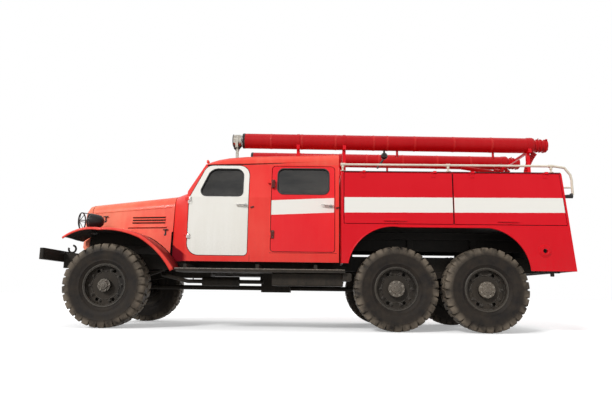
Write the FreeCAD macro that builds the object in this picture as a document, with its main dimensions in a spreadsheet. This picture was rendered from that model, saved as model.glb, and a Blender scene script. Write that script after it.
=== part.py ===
import FreeCAD, Part
import Sketcher
import math
import os
from types import SimpleNamespace
from FreeCAD import Placement, Rotation, Vector

# Six-wheeled bonneted fire engine with a crew cab.  Millimetres.
# The pieces are drawn with x = 0 at the front axle, and their Placement carries them to the part's frame:
# +X forward, +Y to the left-hand side, +Z up, origin under the middle of the overall box.

# ---------------------------------------------------------------- driving sizes
SIZES = {
    # running gear
    "wheelbase": 3665,            # front axle to middle axle
    "bogie_spacing": 1120,        # middle axle to rear axle
    "track": 1755,
    "tyre_radius": 530,           # to the lugs' tips
    "tyre_section": 302,          # widest width of the tyre
    "tread_width": 264,
    "lug_count": 15,              # lugs on each half of the tread
    "tread_groove": 8,            # half width of the groove between the halves
    "lug_depth": 16,
    "rim_radius": 254,
    "rim_width": 216,
    "flange_height": 22,
    "sheet_rim": 10,              # metal of the rim and its flanges
    "disc_offset": 30,            # from the wheel's middle plane to the disc
    "disc_metal": 14,
    "hub_radius": 80,
    "rear_hub_radius": 102,
    "hub_reach": 112,             # outer face of the hub from the wheel's middle plane
    "hub_depth": 40,              # how far the hub reaches inboard
    "drum_radius": 158,
    "drum_depth": 70,
    "hand_hole_radius": 24,
    "hand_hole_count": 6,
    "spindle_radius": 35,
    "spindle_reach": 70,
    "running_clearance": 0.05,
    "seat_gap": 0.3,
    "kingpin_offset": 117,        # kingpin to the wheel's middle plane
    "kingpin_radius": 20,
    "knuckle_size": 100,
    "knuckle_height": 180,
    "fork_gap": 5,
    "drum_metal": 13,
    "fork_metal": 24,
    "axle_radius": 60,
    "diff_radius": 150,
    "diff_length": 280,
    "diff_offset": 120,           # differential from the centre plane, to the right
    # frame
    "rail_spread": 800,           # between the middles of the two rails
    "rail_width": 60,
    "rail_height": 200,
    "rail_metal": 10,
    "rail_top": 960,
    "rail_front": 800,
    "rail_overhang": 905,         # behind the rear axle
    "sill_bottom": 1045,          # lower edge of the sheets between the rear body and the rails
    "sill_height": 90,            # beam outside them, under the body's floor
    "sill_metal": 12,
    "spring_width": 70,
    "spring_half_length": 600,
    "spring_pad": 32,             # height of the seat on the axle
    "spring_tip": 12,
    "front_spring_pack": 66,
    "rear_spring_pack": 74,
    "bumper_depth": 60,
    "bumper_height": 145,
    "bumper_width": 1980,
    "bumper_bottom": 845,
    # front sheet metal
    "hood_front": 440,
    "hood_rear": -740,
    "hood_top_front": 1662,
    "hood_top_rear": 1772,
    "hood_side_bottom": 1250,
    "hood_metal": 16,
    "panel_gap": 8,
    "hood_half_front": 450,       # centre plane to the crease
    "hood_half_rear": 620,
    "hood_crease_front": 1516,
    "hood_crease_rear": 1591,
    "hood_flare": 32,             # how much further out the foot of the side is than the crease
    "nose_length": 105,
    "nose_bottom": 985,
    "fender_width": 2200,
    "fender_tip": 539,
    "fender_tip_height": 1118,
    "fender_crown_height": 1239,
    "fender_shoulder": -451,
    "fender_shoulder_height": 1152,
    "fender_metal": 18,
    "fender_lip": 44,
    "fender_lip_metal": 16,
    "apron_bottom": 1068,
    # cab
    "cab_front": -965,
    "cab_rear": -2955,
    "cab_width": 1740,
    "cab_bottom": 850,
    "cab_belt": 1690,
    "cab_eaves": 2145,
    "cab_eaves_width": 1606,
    "cab_floor": 40,
    "cab_roof_front": 2335,
    "cab_roof_rear": 2400,
    "cab_wall": 40,
    "screen_head": -1180,
    "cowl_top": 1762,
    "glass_thickness": 6,
    # rear body
    "body_front": -2975,
    "body_overhang": 1050,        # behind the rear axle, at the foot of the raked rear wall
    "body_rake": 110,             # how far the rear wall's head stands ahead of its foot
    "body_width": 2300,
    "body_bottom": 760,
    "body_top": 2000,
    "body_wall": 25,
    "body_corner": 45,
    "floor_top": 1315,
    "locker_bottom": 1325,
    "locker_top": 1968,
    "locker_split": -4365,
    "arch_top": 1285,
    # roof gear
    "case_radius": 105,
    "case_front": -1630,
    "case_overhang": 875,         # behind the rear axle
    "case_spread": 1000,
    "case_front_lift": 227,        # middle line of the hose cases above the roof of the cab at their front
    "case_rear_lift": 525,         # and above the rear body at their rear
    "coupling_length": 205,
    "coupling_radius": 76,
    "handrail_radius": 15,
    "handrail_lift": 85,          # above the body's roof
    "handrail_inset": 55,         # from the body's side
    "handrail_overhang": 1090,    # behind the rear axle
    "handrail_foot": 1720,
    # boards and boxes under the cab
    "board_top": 745,
    "board_metal": 35,
    "board_front": -900,
    "board_rear": -3020,
    "board_spread": 2200,
    "board_width": 500,
    "outrigger_height": 60,
    "side_box_front": -2110,
    "side_box_rear": -3000,
    "side_box_bottom": 548,
    "side_box_width": 360,
}

doc = FreeCAD.newDocument("fire_engine")
sheet = doc.addObject("Spreadsheet::Sheet", "Sizes")
for row, (alias, value) in enumerate(SIZES.items(), start=1):
    sheet.set(f"A{row}", alias)
    sheet.set(f"B{row}", str(value))
    sheet.setAlias(f"B{row}", alias)
doc.recompute()
s = SimpleNamespace(**{alias: float(sheet.get(alias)) for alias in SIZES})

# ---------------------------------------------------------------- places worked out from the sizes
LUGS = int(s.lug_count)
HUB_Z = s.tyre_radius * math.cos(math.pi / (2 * LUGS))      # a lug lies flat on the ground
AXLES_X = {"front": 0.0, "middle": -s.wheelbase, "rear": -s.wheelbase - s.bogie_spacing}
s.rail_rear = AXLES_X["rear"] - s.rail_overhang
s.body_rear_bottom = AXLES_X["rear"] - s.body_overhang
s.body_rear_top = s.body_rear_bottom + s.body_rake
s.case_rear = AXLES_X["rear"] - s.case_overhang
s.handrail_rear = AXLES_X["rear"] - s.handrail_overhang
SIDES = {"left": 1, "right": -1}
RAIL_BOTTOM = s.rail_top - s.rail_height
BUMPER_FRONT = s.rail_front + s.bumper_depth
REAR_END = s.handrail_rear - s.handrail_radius
SHIFT = Vector(-(BUMPER_FRONT + REAR_END) / 2, 0, 0)
HOME = Placement(SHIFT, Rotation())
UP = Vector(0, 0, 1)
ALONG = Vector(1, 0, 0)
ACROSS = Vector(0, 1, 0)


# ---------------------------------------------------------------- helpers
def keep(label, shape):
    """Puts a finished shape in the document as one sub-part and carries it to the part's frame."""
    piece = doc.addObject("Part::Feature", label)
    piece.Label = label
    piece.Shape = shape
    piece.Placement = HOME.multiply(shape.Placement)
    return piece


def keep_feature(feature, label):
    """Names a parametric object as a sub-part and carries it to the part's frame."""
    feature.Label = label
    feature.Placement = HOME.multiply(feature.Placement)
    return feature


def block(x0, x1, y0, y1, z0, z1):
    low = Vector(min(x0, x1), min(y0, y1), min(z0, z1))
    return Part.makeBox(abs(x1 - x0), abs(y1 - y0), abs(z1 - z0), low)


def rod(start, end, radius):
    start, end = Vector(*start), Vector(*end)
    run = end - start
    return Part.makeCylinder(radius, run.Length, start, run)


def fuse(shapes):
    return shapes[0].multiFuse(shapes[1:]).removeSplitter() if len(shapes) > 1 else shapes[0]


def both_sides(shape):
    """A shape and its mirror image on the other side, as two solids."""
    return Part.makeCompound([shape, shape.mirror(Vector(0, 0, 0), ACROSS)])


def rounded_outline(corners, to_vector):
    """Closed wire through (a, b, radius) corners with tangent arcs; to_vector makes (a, b) a point."""
    edges, ends = [], []
    count = len(corners)
    for i, (a, b, radius) in enumerate(corners):
        before, here, after = corners[i - 1], (a, b), corners[(i + 1) % count]
        p = to_vector(*here)
        u = (to_vector(*before[:2]) - p).normalize()
        v = (to_vector(*after[:2]) - p).normalize()
        if radius <= 0:
            ends.append((p, p))
            continue
        half = u.getAngle(v) / 2
        reach = radius / math.tan(half)
        middle = p + (u + v).normalize() * (radius / math.sin(half) - radius)
        ends.append((p + u * reach, p + v * reach))
        edges.append(Part.Arc(p + u * reach, middle, p + v * reach).toShape())
    for i in range(count):
        start, end = ends[i][1], ends[(i + 1) % count][0]
        if start.distanceToPoint(end) > 1e-6:
            edges.append(Part.makeLine(start, end))
    return Part.Wire(Part.__sortEdges__(edges))


def side_prism(corners, y0, y1, grow=0.0):
    """Prism across the vehicle over a rounded outline of (x, z, radius) corners."""
    face = Part.Face(rounded_outline(corners, lambda x, z: Vector(x, y0, z)))
    if grow:
        face = Part.Face(face.makeOffset2D(grow).OuterWire)
    return face.extrude(Vector(0, y1 - y0, 0))


def front_prism(corners, x0, x1, grow=0.0):
    """Prism along the vehicle over a rounded outline of (y, z, radius) corners."""
    face = Part.Face(rounded_outline(corners, lambda y, z: Vector(x0, y, z)))
    if grow:
        face = Part.Face(face.makeOffset2D(grow).OuterWire)
    return face.extrude(Vector(x1 - x0, 0, 0))


def plan_prism(corners, z0, z1):
    face = Part.Face(rounded_outline(corners, lambda x, y: Vector(x, y, z0)))
    return face.extrude(Vector(0, 0, z1 - z0))


def arc_band(lower, upper, y0, y1):
    """Bar bent in the side view: each edge is three (x, z) points on one arc."""
    low = [Vector(x, y0, z) for x, z in lower]
    top = [Vector(x, y0, z) for x, z in upper]
    edges = [
        Part.Arc(*low).toShape(),
        Part.makeLine(low[2], top[2]),
        Part.Arc(*top).toShape(),
        Part.makeLine(top[0], low[0]),
    ]
    return Part.Face(Part.Wire(Part.__sortEdges__(edges))).extrude(Vector(0, y1 - y0, 0))


# ---------------------------------------------------------------- tyres
def tyre_shape():
    """Flat-faced tyre about the Y axis; lugs alternate between the two halves, one of them flat on the ground."""
    count = 2 * LUGS
    bead = s.rim_width / 2 - s.sheet_rim - s.seat_gap
    section, tread = s.tyre_section / 2, s.tread_width / 2
    tip, root = s.tyre_radius, s.tyre_radius - s.lug_depth
    clear = math.cos(math.pi / count)
    bore, over_flange = (s.rim_radius + s.seat_gap) / clear, (s.rim_radius + s.flange_height + 8) / clear
    widest, shoulder = (root + over_flange) / 2 + 10, root - 22

    def point(radius, k, y):
        angle = (2 * k + 1) * math.pi / count
        return Vector(radius * math.sin(angle), y, -radius * math.cos(angle))

    def flat(*corners):
        return Part.Face(Part.makePolygon([point(*c) for c in corners + corners[:1]]))

    def band(k, r0, y0, r1, y1):
        return flat((r0, k, y0), (r0, k + 1, y0), (r1, k + 1, y1), (r1, k, y1))

    faces = []
    for k in range(count):
        faces.append(band(k, bore, -bead, bore, bead))
        faces.append(band(k, root, -s.tread_groove, root, s.tread_groove))
        for side in (1, -1):
            wall = [(bore, bead), (over_flange, bead), (widest, section), (shoulder, tread + 6)]
            for (r0, y0), (r1, y1) in zip(wall, wall[1:]):
                faces.append(band(k, r0, side * y0, r1, side * y1))
            lug = (k % 2 == 1) == (side > 0)
            top, inner, outer = (tip if lug else root), side * s.tread_groove, side * tread
            faces.append(band(k, shoulder, side * (tread + 6), top, outer))
            faces.append(band(k, top, outer, top, inner))
            if lug:
                faces.append(band(k, tip, inner, root, inner))
            faces.append(flat(
                (root, k, inner), (tip, k, inner), (tip, k, outer), (shoulder, k, side * (tread + 6)), (root, k, outer)
            ))
    shell = Part.Shell(faces)
    shell.sewShape()
    solid = Part.Solid(shell)
    if solid.Volume < 0:
        solid.reverse()
    return solid


TYRE = tyre_shape()
WHEEL_PLACES = {
    f"{axle}_{side}": Vector(x, sign * s.track / 2, HUB_Z)
    for axle, x in AXLES_X.items()
    for side, sign in SIDES.items()
}


def outboard(place):
    """Turns a wheel's parts so that their outer face looks away from the vehicle."""
    return Rotation(UP, 0 if place.y > 0 else 180)


for name, place in WHEEL_PLACES.items():
    tyre = TYRE.copy()
    tyre.Placement = Placement(place, outboard(place))
    keep(f"tyre_{name}", tyre)


# ---------------------------------------------------------------- wheels: rim, disc, hub and brake drum
def sketched_body(label, plane_role, corners):
    """A body with one sketch; every corner is a pair of expressions that stay bound to the sheet."""
    body = doc.addObject("PartDesign::Body", label)
    plane = next(f for f in body.Origin.OriginFeatures if f.Role == plane_role)
    sketch = body.newObject("Sketcher::SketchObject", f"{label}_sketch")
    sketch.AttachmentSupport = [(plane, "")]
    sketch.MapMode = "FlatFace"
    value = [[float(sheet.evalExpression(text.replace("Sizes.", ""))) for text in pair] for pair in corners]
    count = len(corners)
    for k in range(count):
        start, end = value[k], value[(k + 1) % count]
        sketch.addGeometry(Part.LineSegment(Vector(*start, 0), Vector(*end, 0)), False)
    for k in range(count):
        sketch.addConstraint(Sketcher.Constraint("Coincident", k, 2, (k + 1) % count, 1))
        for kind, number, text in zip(("DistanceX", "DistanceY"), value[k], corners[k]):
            index = sketch.addConstraint(Sketcher.Constraint(kind, k, 1, number))
            sketch.setExpression(f"Constraints[{index}]", text)
    return body, sketch


def wheel_body(label, hub):
    """Revolved rim, disc, hub and drum; the section's corners are (radius, y outboard)."""
    half, disc, front = "Sizes.rim_width / 2", "Sizes.disc_offset", "Sizes.disc_offset + Sizes.disc_metal"
    bore = "Sizes.spindle_radius + Sizes.running_clearance"
    rim, inner = "Sizes.rim_radius", "Sizes.rim_radius - Sizes.sheet_rim"
    lip, drum = "Sizes.rim_radius + Sizes.flange_height", "Sizes.drum_radius"
    blind = "Sizes.spindle_reach + Sizes.fork_gap"
    section = [
        (bore, "-Sizes.hub_depth"), (hub, "-Sizes.hub_depth"), (hub, disc),
        (f"{drum} - Sizes.drum_metal", disc), (f"{drum} - Sizes.drum_metal", "-Sizes.drum_depth"),
        (drum, "-Sizes.drum_depth"), (drum, disc), (inner, disc),
        (inner, f"-{half}"), (lip, f"-{half}"), (lip, f"-{half} + Sizes.sheet_rim"),
        (rim, f"-{half} + Sizes.sheet_rim"), (rim, f"{half} - Sizes.sheet_rim"),
        (lip, f"{half} - Sizes.sheet_rim"), (lip, half), (inner, half), (inner, front),
        (hub, front), (hub, "Sizes.hub_reach"), ("0 * Sizes.hub_reach", "Sizes.hub_reach"),
        ("0 * Sizes.hub_reach", blind), (bore, blind),
    ]
    body, sketch = sketched_body(label, "XY_Plane", section)
    turned = body.newObject("PartDesign::Revolution", f"{label}_turned")
    turned.Profile = sketch
    turned.ReferenceAxis = (sketch, ["V_Axis"])
    turned.Angle = 360
    body.Tip = turned
    return body


def wheel(name, place):
    """The turned body less its hand holes, on its axle."""
    hub = "Sizes.hub_radius" if name.startswith("front") else "Sizes.rear_hub_radius"
    body = wheel_body(f"wheel_{name}_turning", hub)
    hole_circle = (s.drum_radius + s.rim_radius - s.sheet_rim) / 2
    holes = []
    for k in range(int(s.hand_hole_count)):
        angle = 2 * math.pi * k / s.hand_hole_count
        middle = Vector(hole_circle * math.cos(angle), 0, hole_circle * math.sin(angle))
        holes.append(Part.makeCylinder(s.hand_hole_radius, s.rim_width / 2, middle, ACROSS))
    drills = doc.addObject("Part::Feature", f"wheel_{name}_holes")
    drills.Shape = Part.makeCompound(holes)
    drilled = doc.addObject("Part::Cut", f"wheel_{name}")
    drilled.Base = body
    drilled.Tool = drills
    drilled.Placement = Placement(place, outboard(place))
    return keep_feature(drilled, f"wheel_{name}")


for name, place in WHEEL_PLACES.items():
    wheel(name, place)


# ---------------------------------------------------------------- axles, knuckles, springs
def axle_bar(reach):
    """Housing tube with its differential, from side to side."""
    tube = rod((0, -reach, HUB_Z), (0, reach, HUB_Z), s.axle_radius)
    middle = Vector(-s.diff_length / 2, -s.diff_offset, HUB_Z)
    banjo = Part.makeCylinder(s.diff_radius, s.diff_length, middle, ALONG)
    return fuse([tube, banjo])


def spring_seat(y, height):
    half = s.spring_width / 2
    return block(-half, half, y - half, y + half, HUB_Z, HUB_Z + s.axle_radius + height)


SPRING_Y = s.rail_spread / 2
KINGPIN_Y = s.track / 2 - s.kingpin_offset
KNUCKLE_HALF = s.knuckle_size / 2
FORK_LOW = s.knuckle_height / 2 + s.fork_gap
FORK_HIGH = FORK_LOW + s.fork_metal


def fork(sign):
    """Two arms that hold the kingpin, joined behind it to the housing."""
    inner = KINGPIN_Y - KNUCKLE_HALF - s.fork_gap - s.fork_metal
    arms = []
    for low, high in ((FORK_LOW, FORK_HIGH), (-FORK_HIGH, -FORK_LOW)):
        arm = block(-42, 42, sign * inner, sign * KINGPIN_Y, HUB_Z + low, HUB_Z + high)
        eye = Part.makeCylinder(42, high - low, Vector(0, sign * KINGPIN_Y, HUB_Z + low), UP)
        arms += [arm, eye]
    back = block(-42, 42, sign * inner, sign * (inner + s.fork_metal), HUB_Z - FORK_HIGH, HUB_Z + FORK_HIGH)
    hole = Part.makeCylinder(
        s.kingpin_radius + s.running_clearance, 2 * FORK_HIGH, Vector(0, sign * KINGPIN_Y, HUB_Z - FORK_HIGH), UP
    )
    return fuse(arms + [back]).cut(hole)


fork_back = KINGPIN_Y - KNUCKLE_HALF - s.fork_gap - s.fork_metal
keep("front_axle", fuse(
    [axle_bar(fork_back), fork(1), fork(-1)] + [spring_seat(sign * SPRING_Y, s.spring_pad) for sign in (1, -1)]
))

for side, sign in SIDES.items():
    swivel_foot = Vector(0, sign * KINGPIN_Y, HUB_Z - s.knuckle_height / 2)
    swivel = Part.makeCylinder(KNUCKLE_HALF, s.knuckle_height, swivel_foot, UP)
    pin = Part.makeCylinder(s.kingpin_radius, 2 * FORK_HIGH, Vector(0, sign * KINGPIN_Y, HUB_Z - FORK_HIGH), UP)
    spindle = rod(
        (0, sign * KINGPIN_Y, HUB_Z), (0, sign * (s.track / 2 + s.spindle_reach), HUB_Z), s.spindle_radius
    )
    keep(f"knuckle_{side}", fuse([swivel, pin, spindle]))

# the two rear axles: (name, x); a spindle stands out of each end of the housing
rear_axles = []
for x in (AXLES_X["middle"], AXLES_X["rear"]):
    reach = s.track / 2 - s.hub_depth - s.panel_gap
    spindle_end = s.track / 2 + s.spindle_reach
    axle = fuse(
        [axle_bar(reach), rod((0, -spindle_end, HUB_Z), (0, spindle_end, HUB_Z), s.spindle_radius)]
        + [spring_seat(sign * SPRING_Y, s.spring_tip) for sign in (1, -1)]
    )
    axle.translate(Vector(x, 0, 0))
    rear_axles.append(axle)
keep("rear_axles", Part.makeCompound(rear_axles))

axle_seat = HUB_Z + s.axle_radius
front_seat, rear_seat = axle_seat + s.spring_pad, axle_seat + s.spring_tip
springs = []
for sign in (1, -1):
    y0, y1 = SPRING_Y - s.spring_width / 2, SPRING_Y + s.spring_width / 2
    ends = s.spring_half_length
    springs.append(arc_band(
        ((-ends, RAIL_BOTTOM - s.spring_tip), (0, front_seat), (ends, RAIL_BOTTOM - s.spring_tip)),
        ((-ends, RAIL_BOTTOM), (0, front_seat + s.front_spring_pack), (ends, RAIL_BOTTOM)),
        sign * y0, sign * y1,
    ))
    middle = (AXLES_X["middle"] + AXLES_X["rear"]) / 2
    ends = s.bogie_spacing / 2
    springs.append(arc_band(
        ((middle - ends, rear_seat), (middle, RAIL_BOTTOM - s.rear_spring_pack), (middle + ends, rear_seat)),
        ((middle - ends, rear_seat + s.spring_tip), (middle, RAIL_BOTTOM), (middle + ends, rear_seat + s.spring_tip)),
        sign * y0, sign * y1,
    ))
keep("leaf_springs", Part.makeCompound(springs))


# ---------------------------------------------------------------- frame and what it carries
BODY_FLOOR = s.floor_top - s.body_wall
RAIL_INNER, RAIL_OUTER = s.rail_spread / 2 - s.rail_width / 2, s.rail_spread / 2 + s.rail_width / 2
web_inner = RAIL_OUTER - s.rail_metal


def rail(sign):
    """Channel with its web outboard."""
    whole = block(s.rail_rear, s.rail_front, sign * RAIL_INNER, sign * RAIL_OUTER, RAIL_BOTTOM, s.rail_top)
    hollow = block(
        s.rail_rear, s.rail_front, sign * RAIL_INNER, sign * web_inner,
        RAIL_BOTTOM + s.rail_metal, s.rail_top - s.rail_metal,
    )
    return whole.cut(hollow)


BRACKET = {"half_length": 35, "half_width": 25}
bracket_inner, bracket_outer = s.rail_spread / 2 - BRACKET["half_width"], s.rail_spread / 2 + BRACKET["half_width"]
CROSS = {"half_length": 30, "above": 40, "below": 10, "ahead_of_bogie": 620, "in_bogie": 560, "from_end": 60}
HALF_OUTRIGGER = 20
members = [rail(1), rail(-1)]
for x in (
    s.rail_front - CROSS["from_end"], -1500, -2450, AXLES_X["middle"] + CROSS["ahead_of_bogie"],
    AXLES_X["middle"] - CROSS["in_bogie"], s.rail_rear + CROSS["from_end"],
):
    members.append(block(
        x - CROSS["half_length"], x + CROSS["half_length"], -web_inner, web_inner,
        RAIL_BOTTOM + s.rail_metal + CROSS["above"], s.rail_top - s.rail_metal - CROSS["below"],
    ))
# brackets that carry the rear body on the rails: x of each pair
for x in (s.body_front - 150, AXLES_X["middle"] - 280, AXLES_X["rear"] - 15, s.rail_rear + 120):
    for sign in (1, -1):
        members.append(block(
            x - BRACKET["half_length"], x + BRACKET["half_length"], sign * bracket_inner, sign * bracket_outer,
            s.rail_top, BODY_FLOOR,
        ))
# outriggers under the running boards and the cab: x of each pair
for x in (s.board_front - 120, s.cab_rear + 300, (s.board_front + s.cab_rear) / 2):
    for sign in (1, -1):
        members.append(block(
            x - HALF_OUTRIGGER, x + HALF_OUTRIGGER, sign * RAIL_OUTER, sign * (s.board_spread / 2 - 60),
            s.board_top, s.board_top + s.outrigger_height,
        ))
# sheets that close the wheels' space towards the middle, and the beams under the rear body's floor
SILL_FRONT, SILL_REAR = s.body_front - 75, s.rail_rear + 60
for sign in (1, -1):
    members.append(block(
        SILL_FRONT, SILL_REAR, sign * bracket_inner, sign * (bracket_inner - s.sill_metal), s.sill_bottom, BODY_FLOOR
    ))
    members.append(block(
        SILL_FRONT, SILL_REAR, sign * bracket_outer, sign * (bracket_outer + 2 * s.sill_metal),
        BODY_FLOOR - s.sill_height, BODY_FLOOR,
    ))
keep("frame_rails", Part.makeCompound(members))

bumper = doc.addObject("Part::Box", "front_bumper_bar")
bumper.setExpression("Length", "Sizes.bumper_depth")
bumper.setExpression("Width", "Sizes.bumper_width")
bumper.setExpression("Height", "Sizes.bumper_height")
bumper.Placement = Placement(Vector(s.rail_front, -s.bumper_width / 2, s.bumper_bottom), Rotation())
doc.recompute()
rounded = doc.addObject("Part::Fillet", "front_bumper")
rounded.Base = bumper
ends = [i for i, e in enumerate(bumper.Shape.Edges, start=1) if abs(e.BoundBox.XLength) + abs(e.BoundBox.YLength) < 1]
rounded.Edges = [(i, s.bumper_depth / 3, s.bumper_depth / 3) for i in ends]
keep_feature(rounded, "front_bumper")

# tow hooks stand on the bumper and the rear cross-member: open rings on a foot
HOOK_RING, HOOK_BAR = 50, 13


def tow_hook(x, y, z):
    ring = Part.makeTorus(HOOK_RING, HOOK_BAR, Vector(0, 0, 0), UP, -180, 180, 280)
    ring.Placement = Placement(Vector(x, y, z + HOOK_RING + HOOK_BAR), Rotation(ALONG, 90) * Rotation(UP, 100))
    foot = block(x - HOOK_BAR, x + HOOK_BAR, y - HOOK_BAR, y + HOOK_BAR, z, z + 2 * HOOK_BAR)
    return fuse([ring, foot])


front_hooks = [tow_hook(s.rail_front - 90, sign * s.rail_spread / 2, s.rail_top) for sign in (1, -1)]

# engine with its mounts, and the radiator core behind the grille
ENGINE = {"front": 330, "rear": -620, "half": 240, "bottom": 800, "top": 1420}
engine = [block(ENGINE["rear"], ENGINE["front"], -ENGINE["half"], ENGINE["half"], ENGINE["bottom"], ENGINE["top"])]
for x in (200, -480):
    engine.append(block(x - 25, x + 25, -web_inner, web_inner, s.rail_top - 100, s.rail_top - 60))
NOSE_REAR = s.hood_front + s.panel_gap
COWL_FRONT = s.hood_rear - s.panel_gap
core_foot = block(NOSE_REAR - 95, NOSE_REAR - 25, -web_inner, web_inner, s.rail_top, s.rail_top + 40)
core = block(NOSE_REAR - 95, NOSE_REAR - 25, -330, 330, s.rail_top + 40, s.hood_crease_front + 20)
keep("engine_and_radiator", Part.makeCompound([fuse(engine), fuse([core, core_foot])]))

# gearbox, transfer case and propeller shafts
SHAFT_Y, SHAFT_R = -s.diff_offset, 32
gearbox_rear, transfer_front, transfer_rear = -1180, -1900, -2300
drive = [
    block(gearbox_rear, ENGINE["rear"], -170, 170, HUB_Z + 130, s.rail_top - 25),
    rod((gearbox_rear, 0, 740), (transfer_front, 0, 740), SHAFT_R),
    block(transfer_rear, transfer_front, -200, 200, HUB_Z - 60, s.rail_top - 60),
    block(-2150, -2050, -web_inner, web_inner, s.rail_top - 100, s.rail_top - 60),
]
for start, end in (
    (transfer_front, s.diff_length / -2),
    (transfer_rear, AXLES_X["middle"] + s.diff_length / 2),
    (AXLES_X["middle"] - s.diff_length / 2, AXLES_X["rear"] + s.diff_length / 2),
):
    drive.append(rod((start, SHAFT_Y, HUB_Z), (end, SHAFT_Y, HUB_Z), SHAFT_R))
keep("driveline", Part.makeCompound([fuse(drive[:-1]), drive[-1]]))

# exhaust below the left rail, hung from the first two outriggers
pipe_y, pipe_z, pipe_r = 545, 600, 26
outriggers = (s.board_front - 120, (s.board_front + s.cab_rear) / 2)
exhaust = [
    rod((-480, 200, ENGINE["bottom"]), (-540, 290, 690), pipe_r),
    rod((-540, 290, 690), (-950, pipe_y, pipe_z), pipe_r),
    Part.makeSphere(pipe_r, Vector(-540, 290, 690)),
    Part.makeSphere(pipe_r, Vector(-950, pipe_y, pipe_z)),
    rod((-950, pipe_y, pipe_z), (outriggers[1] - 40, pipe_y, pipe_z), pipe_r),
    rod((-1150, pipe_y, pipe_z), (-1640, pipe_y, pipe_z), 62),
]
for x in outriggers:
    exhaust.append(rod((x, pipe_y, pipe_z), (x, pipe_y, s.board_top), 8))
exhaust = fuse(exhaust)
exhaust = exhaust.common(block(-4000, 1000, 0, 1000, 0, ENGINE["bottom"]))
keep("exhaust_pipe", exhaust)

# running boards, and the boxes that hang under them
board = block(
    s.board_rear, s.board_front, s.board_spread / 2 - s.board_width, s.board_spread / 2,
    s.board_top - s.board_metal, s.board_top,
)
front_edges = [e for e in board.Edges if abs(e.BoundBox.ZLength - s.board_metal) < 1 and e.CenterOfMass.y > 1000]
board = board.makeFillet(60, [e for e in front_edges if e.CenterOfMass.x > s.board_front - 10])
keep("running_boards", both_sides(board))
box_outer = s.board_spread / 2 - 110
side_box = block(
    s.side_box_rear, s.side_box_front, box_outer - s.side_box_width, box_outer,
    s.side_box_bottom, s.board_top - s.board_metal,
)
side_box = side_box.makeFillet(18, [e for e in side_box.Edges if e.BoundBox.XLength > 500])
keep("side_boxes", both_sides(side_box))


# ---------------------------------------------------------------- bonnet, nose and fenders
def bend(shoulder, crease, ease):
    """Middle point of the rounded shoulder between the top and the crease."""
    return (shoulder[0] + 0.74 * (crease[0] - shoulder[0]) + ease, crease[1] + 0.72 * (shoulder[1] - crease[1]) + ease)


def bonnet_station(x, front):
    """Half section of the bonnet at x as (y, z) points: crown, shoulder, crease, foot."""
    share = (front - x) / (s.hood_front - s.hood_rear)
    mix = lambda a, b: a + (b - a) * share
    crown = mix(s.hood_top_front, s.hood_top_rear)
    half, crease = mix(s.hood_half_front, s.hood_half_rear), mix(s.hood_crease_front, s.hood_crease_rear)
    return (0, crown), (half * 0.66, crown - 20), (half, crease), (half + s.hood_flare, s.hood_side_bottom)


def bonnet_panel_wire(x):
    """Closed section of the left half of the bonnet at x."""
    crown, shoulder, crease, foot = bonnet_station(x, s.hood_front)
    metal, gap = s.hood_metal, s.panel_gap / 2
    point = lambda y, z: Vector(x, y, z)
    outer_bend, inner_bend = bend(shoulder, crease, 0), bend(shoulder, crease, -metal * 0.7)
    inner = [point(foot[0] - metal, foot[1]), point(crease[0] - metal, crease[1] - metal / 4)]
    inner += [point(*inner_bend), point(shoulder[0] - metal / 4, shoulder[1] - metal), point(gap, crown[1] - metal)]
    outer = [point(gap, crown[1]), point(*shoulder), point(*outer_bend), point(*crease), point(*foot)]
    edges = [
        Part.makeLine(outer[0], outer[1]),
        Part.Arc(outer[1], outer[2], outer[3]).toShape(),
        Part.makeLine(outer[3], outer[4]),
        Part.makeLine(outer[4], inner[0]),
        Part.makeLine(inner[0], inner[1]),
        Part.Arc(inner[1], inner[2], inner[3]).toShape(),
        Part.makeLine(inner[3], inner[4]),
        Part.makeLine(inner[4], outer[0]),
    ]
    return Part.Wire(edges)


# each half turns on two pins of its own, beside the middle plane, one in the nose and one in the cowl
PIVOT = {
    "pin": 4, "ring": 8, "start": 4, "length": 12, "offset": 12, "lift": 4, "reach": 22, "lug": 24, "lug_height": 12,
}


def bonnet_axis(x, sign):
    """Point of one half's hinge line at x, just over the crown."""
    crown = bonnet_station(x, s.hood_front)[0]
    return Vector(x, sign * PIVOT["offset"], crown[1] + PIVOT["lift"])


def bonnet_pivot(lug_face, panel_end, toward):
    """Two pins with the lug that carries them; toward is the direction from the bonnet's end to its middle."""
    level = bonnet_axis(panel_end, 1).z
    half_lug = PIVOT["offset"] + PIVOT["ring"]
    lug = block(
        lug_face, lug_face - toward * PIVOT["lug"], -half_lug, half_lug,
        level - PIVOT["lug"], level + PIVOT["lug_height"],
    )
    pins = []
    for sign in SIDES.values():
        start = bonnet_axis(lug_face - toward * PIVOT["lug"] / 2, sign)
        end = bonnet_axis(panel_end + toward * PIVOT["reach"], sign)
        pins.append(rod(start, end, PIVOT["pin"]))
    return [lug] + pins


bonnet_half = Part.makeLoft([bonnet_panel_wire(s.hood_front), bonnet_panel_wire(s.hood_rear)], True, True)
for side, sign in SIDES.items():
    half = bonnet_half if side == "left" else bonnet_half.mirror(Vector(0, 0, 0), ACROSS)
    for panel_end, toward in ((s.hood_front, -1), (s.hood_rear, 1)):
        near = bonnet_axis(panel_end + toward * PIVOT["start"], sign)
        far = bonnet_axis(panel_end + toward * (PIVOT["start"] + PIVOT["length"]), sign)
        tip = bonnet_axis(panel_end + toward * PIVOT["reach"], sign)
        half = fuse([half, rod(near, far, PIVOT["ring"])])
        half = half.cut(rod(bonnet_axis(panel_end, sign), tip, PIVOT["pin"] + s.seat_gap))
    keep(f"hood_{side}", half)


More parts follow.
